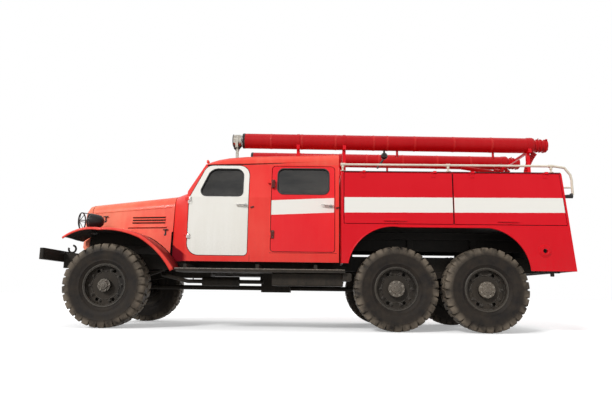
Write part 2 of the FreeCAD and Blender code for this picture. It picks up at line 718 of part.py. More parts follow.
def full_section(x, crown, shoulder, crease, foot):
    """Closed section over both sides, from foot to foot over the crown."""
    point = lambda sign, y, z: Vector(x, sign * y, z)
    rise = bend(shoulder, crease, 0)
    edges = [Part.makeLine(point(-1, *foot), point(1, *foot))]
    edges.append(Part.makeLine(point(1, *foot), point(1, *crease)))
    edges.append(Part.Arc(point(1, *crease), point(1, *rise), point(1, *shoulder)).toShape())
    edges.append(Part.Arc(point(1, *shoulder), point(1, *crown), point(-1, *shoulder)).toShape())
    edges.append(Part.Arc(point(-1, *shoulder), point(-1, *rise), point(-1, *crease)).toShape())
    edges.append(Part.makeLine(point(-1, *crease), point(-1, *foot)))
    return Part.Wire(edges)


def nose_section(x, inset, foot_drop=0):
    crown, shoulder, crease, foot = bonnet_station(s.hood_front, s.hood_front)
    return full_section(
        x, (0, crown[1] - inset), (shoulder[0] - inset / 2, shoulder[1] - inset),
        (crease[0] - inset, crease[1] - inset), (foot[0] - inset, s.nose_bottom + min(inset, 60) - foot_drop),
    )


NOSE_FRONT = NOSE_REAR + s.nose_length
nose = Part.makeLoft(
    [nose_section(NOSE_REAR, 0), nose_section(NOSE_REAR + s.nose_length * 0.55, 14), nose_section(NOSE_FRONT, 58)],
    True, True,
)
nose_metal = 24
hollow = Part.makeLoft(
    [nose_section(NOSE_REAR - 1, nose_metal, 80), nose_section(NOSE_FRONT - nose_metal, 74, 80)], True, True
)
grille_corners = [(-330, 1050, 60), (330, 1050, 60), (330, 1530, 110), (-330, 1530, 110)]
grille_hole = front_prism(grille_corners, NOSE_FRONT - 2 * nose_metal, NOSE_FRONT + 10)
nose = fuse([nose.cut(hollow).cut(grille_hole)] + bonnet_pivot(NOSE_REAR, s.hood_front, -1))
keep("radiator_shell", nose)
grille_block = front_prism(grille_corners, NOSE_FRONT - nose_metal, NOSE_FRONT - 4, -s.seat_gap)
bars = []
BAR_COUNT, BAR_WIDTH = 17, 16
for k in range(BAR_COUNT):
    y = -320 + k * 640 / (BAR_COUNT - 1)
    bars.append(block(NOSE_FRONT - nose_metal, NOSE_FRONT - 4, y - BAR_WIDTH / 2, y + BAR_WIDTH / 2, 1000, 1600))
bars.append(block(NOSE_FRONT - nose_metal, NOSE_FRONT - 12, -400, 400, 1280, 1296))
keep("radiator_grille", grille_block.common(fuse(bars)))


def bent_sheet(path, metal, y0, y1):
    """Sheet bent in the side view along arcs through every three (x, z) points, its metal on the inner side."""
    offset = []
    for i, (x, z) in enumerate(path):
        ahead, behind = path[min(i + 1, len(path) - 1)], path[max(i - 1, 0)]
        dx, dz = ahead[0] - behind[0], ahead[1] - behind[1]
        length = math.hypot(dx, dz)
        offset.append((x - dz / length * metal, z + dx / length * metal))
    edges = []
    for line in (path, offset):
        for i in range(0, len(line) - 2, 2):
            edges.append(Part.Arc(*[Vector(x, y0, z) for x, z in line[i:i + 3]]).toShape())
    for end in (0, -1):
        edges.append(Part.makeLine(Vector(path[end][0], y0, path[end][1]), Vector(offset[end][0], y0, offset[end][1])))
    return Part.Face(Part.Wire(Part.__sortEdges__(edges))).extrude(Vector(0, y1 - y0, 0))


FENDER_PATH = [
    (s.fender_tip, s.fender_tip_height),
    (330, s.fender_crown_height - 14),
    (85, s.fender_crown_height),
    (-194, s.fender_crown_height - 12),
    (s.fender_shoulder, s.fender_shoulder_height),
    (-696, 975),
    (s.board_front + 8, s.board_top - 12),
]
outer_y = s.fender_width / 2
FENDER_REAR = s.board_front - 40
HALF_CAB, HALF_EAVES = s.cab_width / 2, s.cab_eaves_width / 2


def side_wall_y(x):
    """Where the foot of the bonnet's side stands at x."""
    return bonnet_station(x, s.hood_front)[3][0]


def cowl_foot_y(x):
    """Where the foot of the cowl's side stands at x: it widens from the bonnet to the cab."""
    share = (COWL_FRONT - x) / (COWL_FRONT - s.cab_front)
    return side_wall_y(s.hood_rear) * (1 - share) + HALF_CAB * share


def fender():
    sheet_part = bent_sheet(FENDER_PATH, s.fender_metal, 440, outer_y)
    lip = bent_sheet(FENDER_PATH, s.fender_lip, outer_y - s.fender_lip_metal, outer_y)
    plan = [
        (FENDER_REAR, cowl_foot_y(FENDER_REAR), 0), (COWL_FRONT, side_wall_y(s.hood_rear), 0),
        (s.hood_rear, side_wall_y(s.hood_rear) - 10, 0),
        (s.hood_front, side_wall_y(s.hood_front) - 10, 0), (s.fender_tip + 40, side_wall_y(s.hood_front) - 10, 0),
        (s.fender_tip + 40, outer_y + 10, 0), (FENDER_REAR, outer_y + 10, 0),
    ]
    sheet_part = fuse([sheet_part, lip]).common(plan_prism(plan, 600, 1400))
    metal = 20
    apron_plan = [
        (COWL_FRONT, side_wall_y(s.hood_rear), 0), (s.hood_front, side_wall_y(s.hood_front), 0),
        (s.hood_front, side_wall_y(s.hood_front) - metal, 0), (COWL_FRONT, side_wall_y(s.hood_rear) - metal, 0),
    ]
    apron = plan_prism(apron_plan, s.apron_bottom, s.hood_side_bottom - s.panel_gap)
    return fuse([sheet_part, apron])


keep("front_fenders", both_sides(fender()))

# headlamps on stalks, with wire guards, and their lenses
LAMP_Y, LAMP_Z, LAMP_FRONT, LAMP_R = 750, 1365, 352, 98
BOWL = {"depth": 215, "rim": 30, "rim_out": 5, "lens": 14, "wall": 6}
GUARD = {"reach": 75, "radius": LAMP_R + 8, "bar": 6, "stalk": 20}
lamp_axis = Vector(LAMP_FRONT, LAMP_Y, LAMP_Z)


def headlamp():
    """Bowl turned about the lamp's axis, its stalk, and the guard: a hoop with two crossed bars and two stays."""
    point = lambda x, r: Vector(LAMP_FRONT + x, LAMP_Y + r, LAMP_Z)
    rim = LAMP_R + BOWL["rim_out"]
    line = [
        point(-BOWL["lens"], 0), point(-BOWL["lens"], LAMP_R - BOWL["wall"]), point(0, LAMP_R - BOWL["wall"]),
        point(0, rim), point(-BOWL["rim"], rim), point(-BOWL["rim"], LAMP_R),
    ]
    edges = [Part.makeLine(a, b) for a, b in zip(line, line[1:])]
    edges.append(Part.Arc(line[-1], point(-0.72 * BOWL["depth"], 0.72 * LAMP_R), point(-BOWL["depth"], 0)).toShape())
    edges.append(Part.makeLine(point(-BOWL["depth"], 0), line[0]))
    bowl = Part.Face(Part.Wire(edges)).revolve(lamp_axis, ALONG, 360)
    stalk = rod((LAMP_FRONT - 90, LAMP_Y, 1180), (LAMP_FRONT - 90, LAMP_Y, LAMP_Z), GUARD["stalk"])
    reach, bar, x = GUARD["radius"], GUARD["bar"], LAMP_FRONT + GUARD["reach"]
    hoop = Part.makeCylinder(reach + bar, 2 * bar, Vector(x - bar, LAMP_Y, LAMP_Z), ALONG)
    hoop = hoop.cut(Part.makeCylinder(reach - bar, 4 * bar, Vector(x - 2 * bar, LAMP_Y, LAMP_Z), ALONG))
    bars = [
        block(x - bar, x + bar, LAMP_Y - reach, LAMP_Y + reach, LAMP_Z - bar, LAMP_Z + bar),
        block(x - bar, x + bar, LAMP_Y - bar, LAMP_Y + bar, LAMP_Z - reach, LAMP_Z + reach),
    ]
    for sign in (1, -1):
        side = LAMP_Y + sign * (reach - bar / 2)
        bars.append(block(LAMP_FRONT - BOWL["rim"], x, side - bar / 2, side + bar / 2, LAMP_Z - bar, LAMP_Z + bar))
    bars.append(block(x - bar, x + bar, LAMP_Y - bar, LAMP_Y + bar, 1130, LAMP_Z - reach))
    return fuse([bowl, stalk, hoop] + bars)


fender_sheet = bent_sheet(FENDER_PATH, 500, 300, outer_y)
keep("headlamps", both_sides(headlamp().cut(fender_sheet)))
lens = Part.makeCylinder(
    LAMP_R - BOWL["wall"] - s.seat_gap, BOWL["lens"] - s.seat_gap,
    lamp_axis - ALONG * (BOWL["lens"] - s.seat_gap), ALONG,
)
keep("headlamp_lenses", both_sides(lens))


# ---------------------------------------------------------------- cab
CAB_FLOOR = s.rail_top                       # the floor lies on the rails; the side skirts reach lower
screen_run, screen_rise = s.cab_front - s.screen_head, s.cab_eaves - s.cowl_top
screen_slant = math.hypot(screen_run, screen_rise) / screen_rise


def cab_section(inset, bottom, top):
    """Corners of the cab's cross-section with its sides moved inwards by inset."""
    section = [
        (HALF_CAB - inset, bottom, 0), (HALF_CAB - inset, s.cab_belt, 0), (HALF_EAVES - inset, s.cab_eaves, 0),
        (HALF_EAVES - inset, top, 0), (inset - HALF_EAVES, top, 0), (inset - HALF_EAVES, s.cab_eaves, 0),
        (inset - HALF_CAB, s.cab_belt, 0), (inset - HALF_CAB, bottom, 0),
    ]
    return section[:3] + section[5:] if top <= s.cab_eaves else section


def cab_block(inset, bottom, top):
    """Cab below the eaves with every wall moved inwards by inset."""
    section = cab_section(inset, bottom, top)
    slant = inset * screen_slant
    knee = s.cab_front - inset
    knee_z = s.cowl_top + (slant - inset) * -screen_rise / screen_run
    head = s.screen_head - slant - screen_run / screen_rise * (top - s.cab_eaves)
    side = [
        (s.cab_rear + inset, bottom, 0), (knee, bottom, 0), (knee, knee_z, 0), (head, top, 0),
        (s.cab_rear + inset, top, 0),
    ]
    return front_prism(section, s.cab_rear - 10, s.cab_front + 10).common(side_prism(side, -HALF_CAB, HALF_CAB))


def roof_section(x, crown, inset):
    """Closed section of the roof at x, crowned between two rounded shoulders."""
    half, foot = HALF_EAVES - inset, s.cab_eaves - (20 if inset else 0)
    shoulder, crown_z = (HALF_EAVES * 0.8 - inset * 0.6, crown - 62 * (crown - s.cab_eaves) / 230 - inset), crown - inset
    rise = (shoulder[0] + 0.76 * (half - shoulder[0]), s.cab_eaves + 0.66 * (shoulder[1] - s.cab_eaves))
    point = lambda y, z: Vector(x, y, z)
    edges = [
        Part.makeLine(point(-half, foot), point(half, foot)),
        Part.Arc(point(half, foot), point(*rise), point(*shoulder)).toShape(),
        Part.Arc(point(*shoulder), point(0, crown_z), point(-shoulder[0], shoulder[1])).toShape(),
        Part.Arc(point(-shoulder[0], shoulder[1]), point(-rise[0], rise[1]), point(-half, foot)).toShape(),
    ]
    return Part.Wire(edges)


# stations of the roof: (share of the way from the screen's head to the full height, x behind the head)
ROOF_RISE = [(0.08, 0), (0.36, 60), (0.62, 160), (0.84, 300), (1.0, 520)]


def roof_block(inset):
    sections = []
    for share, back in ROOF_RISE:
        x = s.screen_head - back - (inset if back == 0 else 0)
        crown = s.cab_eaves + share * (s.cab_roof_front - s.cab_eaves)
        sections.append(roof_section(x, max(crown, s.cab_eaves + inset + 12), inset))
    sections.append(roof_section(s.cab_rear + inset, s.cab_roof_rear, inset))
    return Part.makeLoft(sections, True, True)


cab_roof_solid = roof_block(0)
keep("cab_roof", cab_roof_solid.cut(roof_block(s.cab_wall)))

CAB_DOORS = {
    "front": [(-990, 930, 150), (-990, 1668, 60), (-1205, 2128, 120), (-1767, 2128, 135), (-1767, 930, 50)],
    "crew": [(-2072, 985, 40), (-2072, 2122, 40), (-2896, 2122, 50), (-2896, 985, 30)],
}
CAB_WINDOWS = {
    "front": [(-1105, 1706, 70), (-1262, 2080, 130), (-1690, 2080, 100), (-1690, 1706, 60)],
    "crew": [(-2147, 1738, 80), (-2147, 2092, 80), (-2823, 2092, 80), (-2823, 1738, 80)],
}

HINGE_OUT, HINGE_R, HINGE_HALF, LEAF = 9, 7, 38, 46


def hinge(placement, sink, leaf=LEAF):
    """A butt hinge as (moving half, fixed half), drawn with its axis on Z, the door on -X and outdoors on +Y.

    The lower knuckle swings with the door and the upper one stays; each has a leaf let into its face by sink.
    """
    halves = []
    for sign, low, high in ((-1, -HINGE_HALF, -0.15), (1, 0.15, HINGE_HALF)):
        knuckle = Part.makeCylinder(HINGE_R, high - low, Vector(0, 0, low), UP)
        tongue = block(0, sign * leaf, -HINGE_R, -HINGE_R + 4, low, high)
        root = block(sign * leaf / 3, sign * leaf, -HINGE_OUT - sink, -HINGE_R + 4, low, high)
        half = fuse([knuckle, tongue, root])
        half.Placement = placement
        halves.append(half)
    return halves


CAB_HINGES = {"front": (1185, 1640), "crew": (1190, 1880)}       # heights


def cab_hinge(kind, z):
    """Hinge on the front edge of a left-hand cab door; the wall leans in above the belt."""
    lean = max(0, z - s.cab_belt) * (HALF_CAB - HALF_EAVES) / (s.cab_eaves - s.cab_belt)
    place = Vector(CAB_DOORS[kind][0][0] + s.panel_gap / 2, HALF_CAB + HINGE_OUT, z)
    return hinge(Placement(place, Rotation()), lean + 8)


wall_shell = cab_block(0, CAB_FLOOR, s.cab_eaves).cut(
    cab_block(s.cab_wall, CAB_FLOOR + s.cab_floor, s.cab_eaves + 20)
)


def inside_the_doors(inset):
    """The cab's cross-section inset, running through both end walls, so that the doors take none of them."""
    return front_prism(cab_section(inset, s.cab_bottom - 10, s.cab_eaves + 20), s.cab_rear - 10, s.cab_front + 10)


door_shell = cab_block(0, s.cab_bottom, s.cab_eaves).cut(inside_the_doors(s.cab_wall))
behind_doorways = inside_the_doors(s.cab_wall + s.panel_gap)
glass_shell = cab_block((s.cab_wall - s.glass_thickness) / 2, s.cab_bottom, s.cab_eaves).cut(
    cab_block((s.cab_wall + s.glass_thickness) / 2, s.cab_bottom - 10, s.cab_eaves + 20)
)
skirt = block(s.cab_rear, s.cab_front, HALF_CAB - s.cab_wall, HALF_CAB, s.cab_bottom, CAB_FLOOR + s.cab_floor)
skirts = [skirt, skirt.mirror(Vector(0, 0, 0), ACROSS)]


def cowl_section(x, inset):
    """Section of the cowl, which widens from the bonnet to the cab."""
    share = (COWL_FRONT - x) / (COWL_FRONT - s.cab_front)
    crown, shoulder, crease, _ = bonnet_station(s.hood_rear, s.hood_front)
    mix = lambda a, b: a + (b - a) * share
    return full_section(
        x, (0, mix(crown[1], s.cowl_top) - inset),
        (mix(shoulder[0], HALF_CAB * 0.86) - inset / 2, mix(shoulder[1], s.cowl_top - 8) - inset),
        (mix(crease[0], HALF_CAB - 2) - inset, mix(crease[1], s.cowl_top - 110) - inset / 3),
        (cowl_foot_y(x) - inset, s.cab_bottom - (60 if inset else 0)),
    )


cowl = Part.makeLoft([cowl_section(COWL_FRONT, 0), cowl_section(s.cab_front, 0)], True, True)
cowl_hollow = Part.makeLoft(
    [cowl_section(COWL_FRONT + 1, s.fender_metal), cowl_section(s.cab_front - 1, s.fender_metal)], True, True
)
cab = fuse([wall_shell, cowl.cut(cowl_hollow)] + skirts + bonnet_pivot(COWL_FRONT, s.hood_rear, 1))
SCREEN_PANE = [(45, s.cowl_top + 58, 45), (715, s.cowl_top + 52, 60), (672, s.cab_eaves - 48, 60), (45, s.cab_eaves - 40, 45)]
screen_holes = both_sides(front_prism(SCREEN_PANE, s.screen_head - 90, s.cab_front + 20))
for kind, corners in CAB_DOORS.items():
    doorway = side_prism(corners, 0, HALF_CAB + 10, s.panel_gap).cut(behind_doorways)
    cab = cab.cut(both_sides(doorway))
    cab = fuse([cab] + [both_sides(cab_hinge(kind, z)[1]) for z in CAB_HINGES[kind]])
cab = cab.cut(screen_holes)
keep("cab_shell", cab)
screen_glass = front_prism(SCREEN_PANE, s.screen_head - 90, s.cab_front + 20, -s.seat_gap).common(glass_shell)
keep("windscreen_glass", both_sides(screen_glass))


def cab_door(kind, hinge_heights, handle_x, handle_z):
    corners = CAB_DOORS[kind]
    panel = side_prism(corners, 0, HALF_CAB + 10).common(door_shell)
    panel = panel.cut(side_prism(CAB_WINDOWS[kind], 0, HALF_CAB + 20))
    moving = [cab_hinge(kind, z)[0] for z in hinge_heights]
    grip = rod((handle_x, HALF_CAB + 26, handle_z), (handle_x + 120, HALF_CAB + 26, handle_z), 9)
    posts = [rod((handle_x + d, HALF_CAB - 4, handle_z), (handle_x + d, HALF_CAB + 26, handle_z), 8) for d in (12, 108)]
    return fuse([panel, grip] + posts + moving)


for kind, handle_x, handle_z in (("front", -1735, 1585), ("crew", -2880, 1590)):
    hinge_heights = CAB_HINGES[kind]
    door = cab_door(kind, hinge_heights, handle_x, handle_z)
    pane = side_prism(CAB_WINDOWS[kind], 0, HALF_CAB + 20, -s.seat_gap).common(glass_shell)
    for side, sign in SIDES.items():
        keep(f"{kind}_door_{side}", door if sign > 0 else door.mirror(Vector(0, 0, 0), ACROSS))
        keep(f"{kind}_door_glass_{side}", pane if sign > 0 else pane.mirror(Vector(0, 0, 0), ACROSS))

# seats, dashboard with the steering wheel
SEAT_TOP = CAB_FLOOR + s.cab_floor + 430
seats = []
for front in (-1480, -2410):
    cushion = block(front - 430, front, -700, 700, CAB_FLOOR + s.cab_floor, SEAT_TOP)
    back = block(front - 500, front - 430, -700, 700, CAB_FLOOR + s.cab_floor, SEAT_TOP + 480)
    seats.append(fuse([cushion, back]))
keep("cab_seats", Part.makeCompound(seats))
dash_rear = s.cab_front - s.cab_wall - 150
dash = block(dash_rear, s.cab_front - s.cab_wall, -HALF_CAB + s.cab_wall + 40, HALF_CAB - s.cab_wall - 40, 1560, 1690)
column = rod((dash_rear + 40, 430, 1570), (-1290, 430, 1675), 20)
wheel_axis = Vector(190, 0, -105).normalize()
wheel_rim = Part.makeTorus(215, 13, Vector(-1300, 430, 1680), wheel_axis)
wheel_hub = Part.makeCylinder(36, 40, Vector(-1300, 430, 1680) - wheel_axis * 20, wheel_axis)
spokes = []
for turn in (90, 210, 330):
    spoke = rod((0, 0, 0), (0, 215, 0), 9)
    spoke.Placement = Placement(
        Vector(-1300, 430, 1680), Rotation(UP, wheel_axis) * Rotation(UP, turn)
    )
    spokes.append(spoke)
keep("dashboard", fuse([dash, column, wheel_rim, wheel_hub] + spokes))


# ---------------------------------------------------------------- rear body
HALF_BODY = s.body_width / 2
rake = math.atan2(s.body_rear_top - s.body_rear_bottom, s.body_top - s.body_bottom)


def rear_x(z, inset=0.0):
    """x of the raked rear wall at height z."""
    return s.body_rear_bottom + (z - s.body_bottom) * math.tan(rake) + inset / math.cos(rake)


def body_block(inset, bottom, top):
    outline = [
        (s.body_front - inset, bottom, 0), (s.body_front - inset, top, 0),
        (rear_x(top, inset), top, 0), (rear_x(bottom, inset), bottom, 0),
    ]
    return side_prism(outline, inset - HALF_BODY, HALF_BODY - inset)


def arch_outline(grow):
    """Opening over the two rear wheels in the side view: an arc at each end, level between."""
    front_foot, front_head = s.body_front - 75 + grow, AXLES_X["middle"] - 35
    rear_head, rear_foot = AXLES_X["rear"] - 15, AXLES_X["rear"] - 501 - grow
    top = s.arch_top + grow
    low = s.body_bottom - 100
    points = [
        (front_foot, low), (front_foot, s.body_bottom + 70), (front_foot - 156, s.body_bottom + 363 + grow),
        (front_head, top), (rear_head, top), (rear_foot + 139, s.body_bottom + 338 + grow),
        (rear_foot, s.body_bottom), (rear_foot, low),
    ]
    v = [Vector(x, -HALF_BODY - 5, z) for x, z in points]
    edges = [
        Part.makeLine(v[0], v[1]), Part.Arc(v[1], v[2], v[3]).toShape(), Part.makeLine(v[3], v[4]),
        Part.Arc(v[4], v[5], v[6]).toShape(), Part.makeLine(v[6], v[7]), Part.makeLine(v[7], v[0]),
    ]
    return Part.Face(Part.Wire(edges)).extrude(Vector(0, 2 * HALF_BODY + 10, 0))


outer = body_block(0, s.body_bottom, s.body_top)
top_edges = [
    e for e in outer.Edges
    if e.BoundBox.ZMin > s.body_top - 1 and e.BoundBox.XLength > 1000
]
outer = outer.makeFillet(s.body_corner, top_edges)
inner = body_block(s.body_wall, s.body_bottom - 10, s.body_top - s.body_wall)
step = side_prism([
    (s.body_front + 5, s.body_bottom - 5, 0), (s.body_front + 5, s.cab_bottom - 20, 0),
    (s.body_front - 90, s.cab_bottom - 20, 0), (s.body_front - 90, s.body_bottom - 5, 0),
], -HALF_BODY - 5, HALF_BODY + 5)
between_rails = block(
    s.body_front - s.body_wall - 1, s.body_front + 1, -HALF_CAB + 230, HALF_CAB - 230, s.body_bottom - 5, BODY_FLOOR
)
body_skin = outer.cut(inner)
floor = block(
    rear_x(s.floor_top, s.body_wall / 2), s.body_front - s.body_wall / 2,
    s.body_wall / 2 - HALF_BODY, HALF_BODY - s.body_wall / 2, BODY_FLOOR, s.floor_top,
)
LOCKER_DEPTH = 450
bulkheads = [block(
    s.locker_split - 12, s.locker_split + 12, sign * (HALF_BODY - LOCKER_DEPTH), sign * (HALF_BODY - s.body_wall / 2),
    s.floor_top - 5, s.body_top - s.body_wall / 2,
) for sign in (1, -1)]
body = fuse([body_skin, floor] + bulkheads).cut(step).cut(between_rails)
body = body.cut(arch_outline(0).cut(block(-9000, 0, -9000, 9000, BODY_FLOOR, 9000)))

door_margin = 32
LOCKERS = {
    "front": [
        (s.body_front - door_margin, s.locker_bottom, 12), (s.body_front - door_margin, s.locker_top, 12),
        (s.locker_split + s.panel_gap, s.locker_top, 12), (s.locker_split + s.panel_gap, s.locker_bottom, 12),
    ],
    "rear": [
        (s.locker_split - s.panel_gap, s.locker_bottom, 12), (s.locker_split - s.panel_gap, s.locker_top, 12),
        (rear_x(s.locker_top, door_margin), s.locker_top, 12), (rear_x(s.locker_bottom, door_margin), s.locker_bottom, 12),
    ],
}
for corners in LOCKERS.values():
    body = body.cut(both_sides(side_prism(corners, HALF_BODY - s.body_wall - 5, HALF_BODY + 5, s.panel_gap)))

REAR_DOOR = [(-420, 1340, 30), (420, 1340, 30), (420, 1900, 30), (-420, 1900, 30)]
REAR_MIDDLE = (REAR_DOOR[0][1] + REAR_DOOR[2][1]) / 2
rear_hole = front_prism(REAR_DOOR, s.body_rear_bottom - 50, s.body_rear_top + 60, s.panel_gap)
hitch_hole = block(s.body_rear_bottom - 50, s.body_rear_bottom + 80, -90, 90, 800, 940)
body = body.cut(rear_hole).cut(hitch_hole)

# round outlet in the left skirt: a flange with a bore through it
OUTLET = {"x": s.wheelbase * -1 - 1795, "z": 1005, "bore": 28, "flange": 56, "stand": 15}
flange = rod(
    (OUTLET["x"], HALF_BODY - s.body_wall, OUTLET["z"]), (OUTLET["x"], HALF_BODY + OUTLET["stand"], OUTLET["z"]),
    OUTLET["flange"],
)
bore = rod(
    (OUTLET["x"], HALF_BODY - s.body_wall - 5, OUTLET["z"]),
    (OUTLET["x"], HALF_BODY + OUTLET["stand"] + 5, OUTLET["z"]), OUTLET["bore"],
)
locker_hinge_z = s.locker_top + s.panel_gap / 2


def locker_hinges(corners):
    """Hinges along a locker door's top edge, 230 in from each end, short so that they stay on the rounded edge."""
    xs = [c[0] for c in corners]
    turn = Rotation(UP, ACROSS, ALONG, "XYZ")
    places = [Vector(x, HALF_BODY + HINGE_OUT, locker_hinge_z) for x in (min(xs) + 230, max(xs) - 230)]
    return [hinge(Placement(place, turn), 22, s.body_top - locker_hinge_z - 3) for place in places]


def rear_hinges():
    """Hinges on the left edge of the rear door, in the raked wall."""
    turn = Rotation(ACROSS, ALONG * -1, UP, "XYZ")
    places = [Vector(-HINGE_OUT, REAR_DOOR[1][0] + s.panel_gap / 2, z) for z in (-180, 180)]
    wall = Placement(Vector(rear_x(REAR_MIDDLE), 0, REAR_MIDDLE), Rotation(ACROSS, math.degrees(rake)))
    return [hinge(wall.multiply(Placement(place, turn)), 6) for place in places]


fixed_leaves = [both_sides(h[1]) for corners in LOCKERS.values() for h in locker_hinges(corners)]
fixed_leaves += [h[1] for h in rear_hinges()]
keep("body_shell", fuse([body, flange] + fixed_leaves).cut(bore))

for row, corners in LOCKERS.items():
    panel = side_prism(corners, HALF_BODY - s.body_wall - 5, HALF_BODY + 5).common(body_skin)
    xs = [c[0] for c in corners]
    middle = (min(xs) + max(xs)) / 2
    handle = block(middle - 95, middle + 95, HALF_BODY - 2, HALF_BODY + 14, s.locker_bottom + 28, s.locker_bottom + 44)
    door = fuse([panel, handle] + [h[0] for h in locker_hinges(corners)])
    for side, sign in SIDES.items():
        keep(f"locker_door_{row}_{side}", door if sign > 0 else door.mirror(Vector(0, 0, 0), ACROSS))


def on_rear_wall(shape, z):
    """Carries a shape drawn with its back on x = 0, looking to -X, onto the raked wall at height z."""
    placed = shape.copy()
    placed.Placement = Placement(Vector(rear_x(z), 0, z), Rotation(ACROSS, math.degrees(rake))).multiply(placed.Placement)
    return placed


door_panel = front_prism(REAR_DOOR, s.body_rear_bottom - 50, s.body_rear_top + 60).common(body_skin)
knob = on_rear_wall(rod((4, -370, 0), (-38, -370, 0), 14), REAR_MIDDLE)
lever = on_rear_wall(block(-46, -34, -384, -300, -12, 12), REAR_MIDDLE)
keep("rear_door", fuse([door_panel, knob, lever] + [h[0] for h in rear_hinges()]))

keep("water_tank", block(-4850, s.body_front - s.body_wall - 60, -660, 660, s.floor_top, 1930))
pump = [
    block(-5560, -5060, -260, 260, s.floor_top, 1560),
    rod((-5310, -260, 1600), (-5310, 260, 1600), 150),
    rod((-5060, 0, 1480), (-4850, 0, 1480), 60),
]
keep("pump_unit", fuse(pump))

# ---------------------------------------------------------------- roof gear
CASE_FRONT_Z, CASE_REAR_Z = s.cab_roof_front + s.case_front_lift, s.body_top + s.case_rear_lift
CASE_SLOPE = (CASE_REAR_Z - CASE_FRONT_Z) / (s.case_rear - s.case_front)


def case_z(x):
    """Height of the hose cases' middle line at x."""
    return CASE_FRONT_Z + (x - s.case_front) * CASE_SLOPE


CASE_Y = s.case_spread / 2
case = rod((s.case_front, CASE_Y, case_z(s.case_front)), (s.case_rear, CASE_Y, case_z(s.case_rear)), s.case_radius)
case_keepout = rod(
    (s.case_front + 20, CASE_Y, case_z(s.case_front + 20)), (s.case_rear - 20, CASE_Y, case_z(s.case_rear - 20)),
    s.case_radius + s.seat_gap,
)
keep("hose_cases", both_sides(case))
coupling_end = s.case_rear - s.coupling_length
coupling = [rod((s.case_rear, CASE_Y, case_z(s.case_rear)), (coupling_end, CASE_Y, case_z(coupling_end)), s.coupling_radius)]
for x in (s.case_rear - 40, s.case_rear - 95, coupling_end + 30):
    coupling.append(rod((x, CASE_Y, case_z(x)), (x - 22, CASE_Y, case_z(x - 22)), s.coupling_radius + 16))
coupling.append(rod((s.case_rear - 120, CASE_Y, case_z(s.case_rear)), (s.case_rear - 120, CASE_Y, case_z(s.case_rear) + s.coupling_radius + 46), 9))
keep("hose_couplings", both_sides(fuse(coupling)))

# cradles that carry the cases: (x, where each stands)
supports = []
for x, foot in ((-2400, "cab"), (-3040, "body"), (-5590, "body")):
    base = s.cab_eaves + 60 if foot == "cab" else s.body_top
    posts = [block(x - 22, x + 22, sign * CASE_Y - 24, sign * CASE_Y + 24, base, case_z(x)) for sign in (1, -1)]
    saddles = [block(x - 22, x + 22, sign * CASE_Y - 90, sign * CASE_Y + 90, case_z(x) - 118, case_z(x) - 52) for sign in (1, -1)]
    bar = [block(x - 16, x + 16, -CASE_Y, CASE_Y, case_z(x) - 110, case_z(x) - 80)]
    frame = fuse(posts + saddles + bar)
    for sign in (1, -1):
        tube = case_keepout if sign > 0 else case_keepout.mirror(Vector(0, 0, 0), ACROSS)
        frame = frame.cut(tube)
    supports.append(frame.cut(cab_roof_solid) if foot == "cab" else frame)
keep("case_supports", Part.makeCompound(supports))


def handrail(sign):
    y, r, top = sign * (HALF_BODY - s.handrail_inset), s.handrail_radius, s.body_top + s.handrail_lift
    front, bend_x = s.body_front - 15, s.body_rear_top + 60
    rear, foot = s.handrail_rear, s.handrail_foot
    route = [
        (front, y, top), (bend_x, y, top), (bend_x - 130, y, top - 20), (rear + 12, y, top - 110),
        (rear, y, top - 180), (rear, y, foot),
    ]
    parts = [rod(a, b, r) for a, b in zip(route, route[1:])]
    parts += [Part.makeSphere(r, Vector(*p)) for p in route[:-1]]
    for x in (front, (front + bend_x) / 2, bend_x + 40):
        parts.append(rod((x, y, s.body_top), (x, y, top), r * 0.8))
    stay_z = foot + 90
    parts.append(rod((rear, y, stay_z), (rear_x(stay_z) + 0.2, y, stay_z), r * 0.7))
    return fuse(parts).cut(body_block(0, s.body_bottom, s.body_top - s.body_corner))


keep("handrails", Part.makeCompound([handrail(1), handrail(-1)]))

# searchlight ahead of the left hose case
LIGHT = {"x": -1545, "y": CASE_Y, "z": CASE_FRONT_Z + 3, "radius": 84, "depth": 115}
light = [
    Part.makeCylinder(LIGHT["radius"], LIGHT["depth"], Vector(LIGHT["x"] - LIGHT["depth"] / 2, LIGHT["y"], LIGHT["z"]), ALONG),
    block(LIGHT["x"] - 18, LIGHT["x"] + 18, LIGHT["y"] - 96, LIGHT["y"] - 86, LIGHT["z"] - 110, LIGHT["z"] + 15),
    block(LIGHT["x"] - 18, LIGHT["x"] + 18, LIGHT["y"] + 86, LIGHT["y"] + 96, LIGHT["z"] - 110, LIGHT["z"] + 15),
    block(LIGHT["x"] - 18, LIGHT["x"] + 18, LIGHT["y"] - 96, LIGHT["y"] + 96, LIGHT["z"] - 118, LIGHT["z"] - 106),
    rod((LIGHT["x"], LIGHT["y"] - 96, LIGHT["z"]), (LIGHT["x"], LIGHT["y"] + 96, LIGHT["z"]), 8),
    rod((LIGHT["x"], LIGHT["y"], s.cab_eaves + 60), (LIGHT["x"], LIGHT["y"], LIGHT["z"] - 110), 22),
]
keep("searchlight", fuse(light).cut(cab_roof_solid))

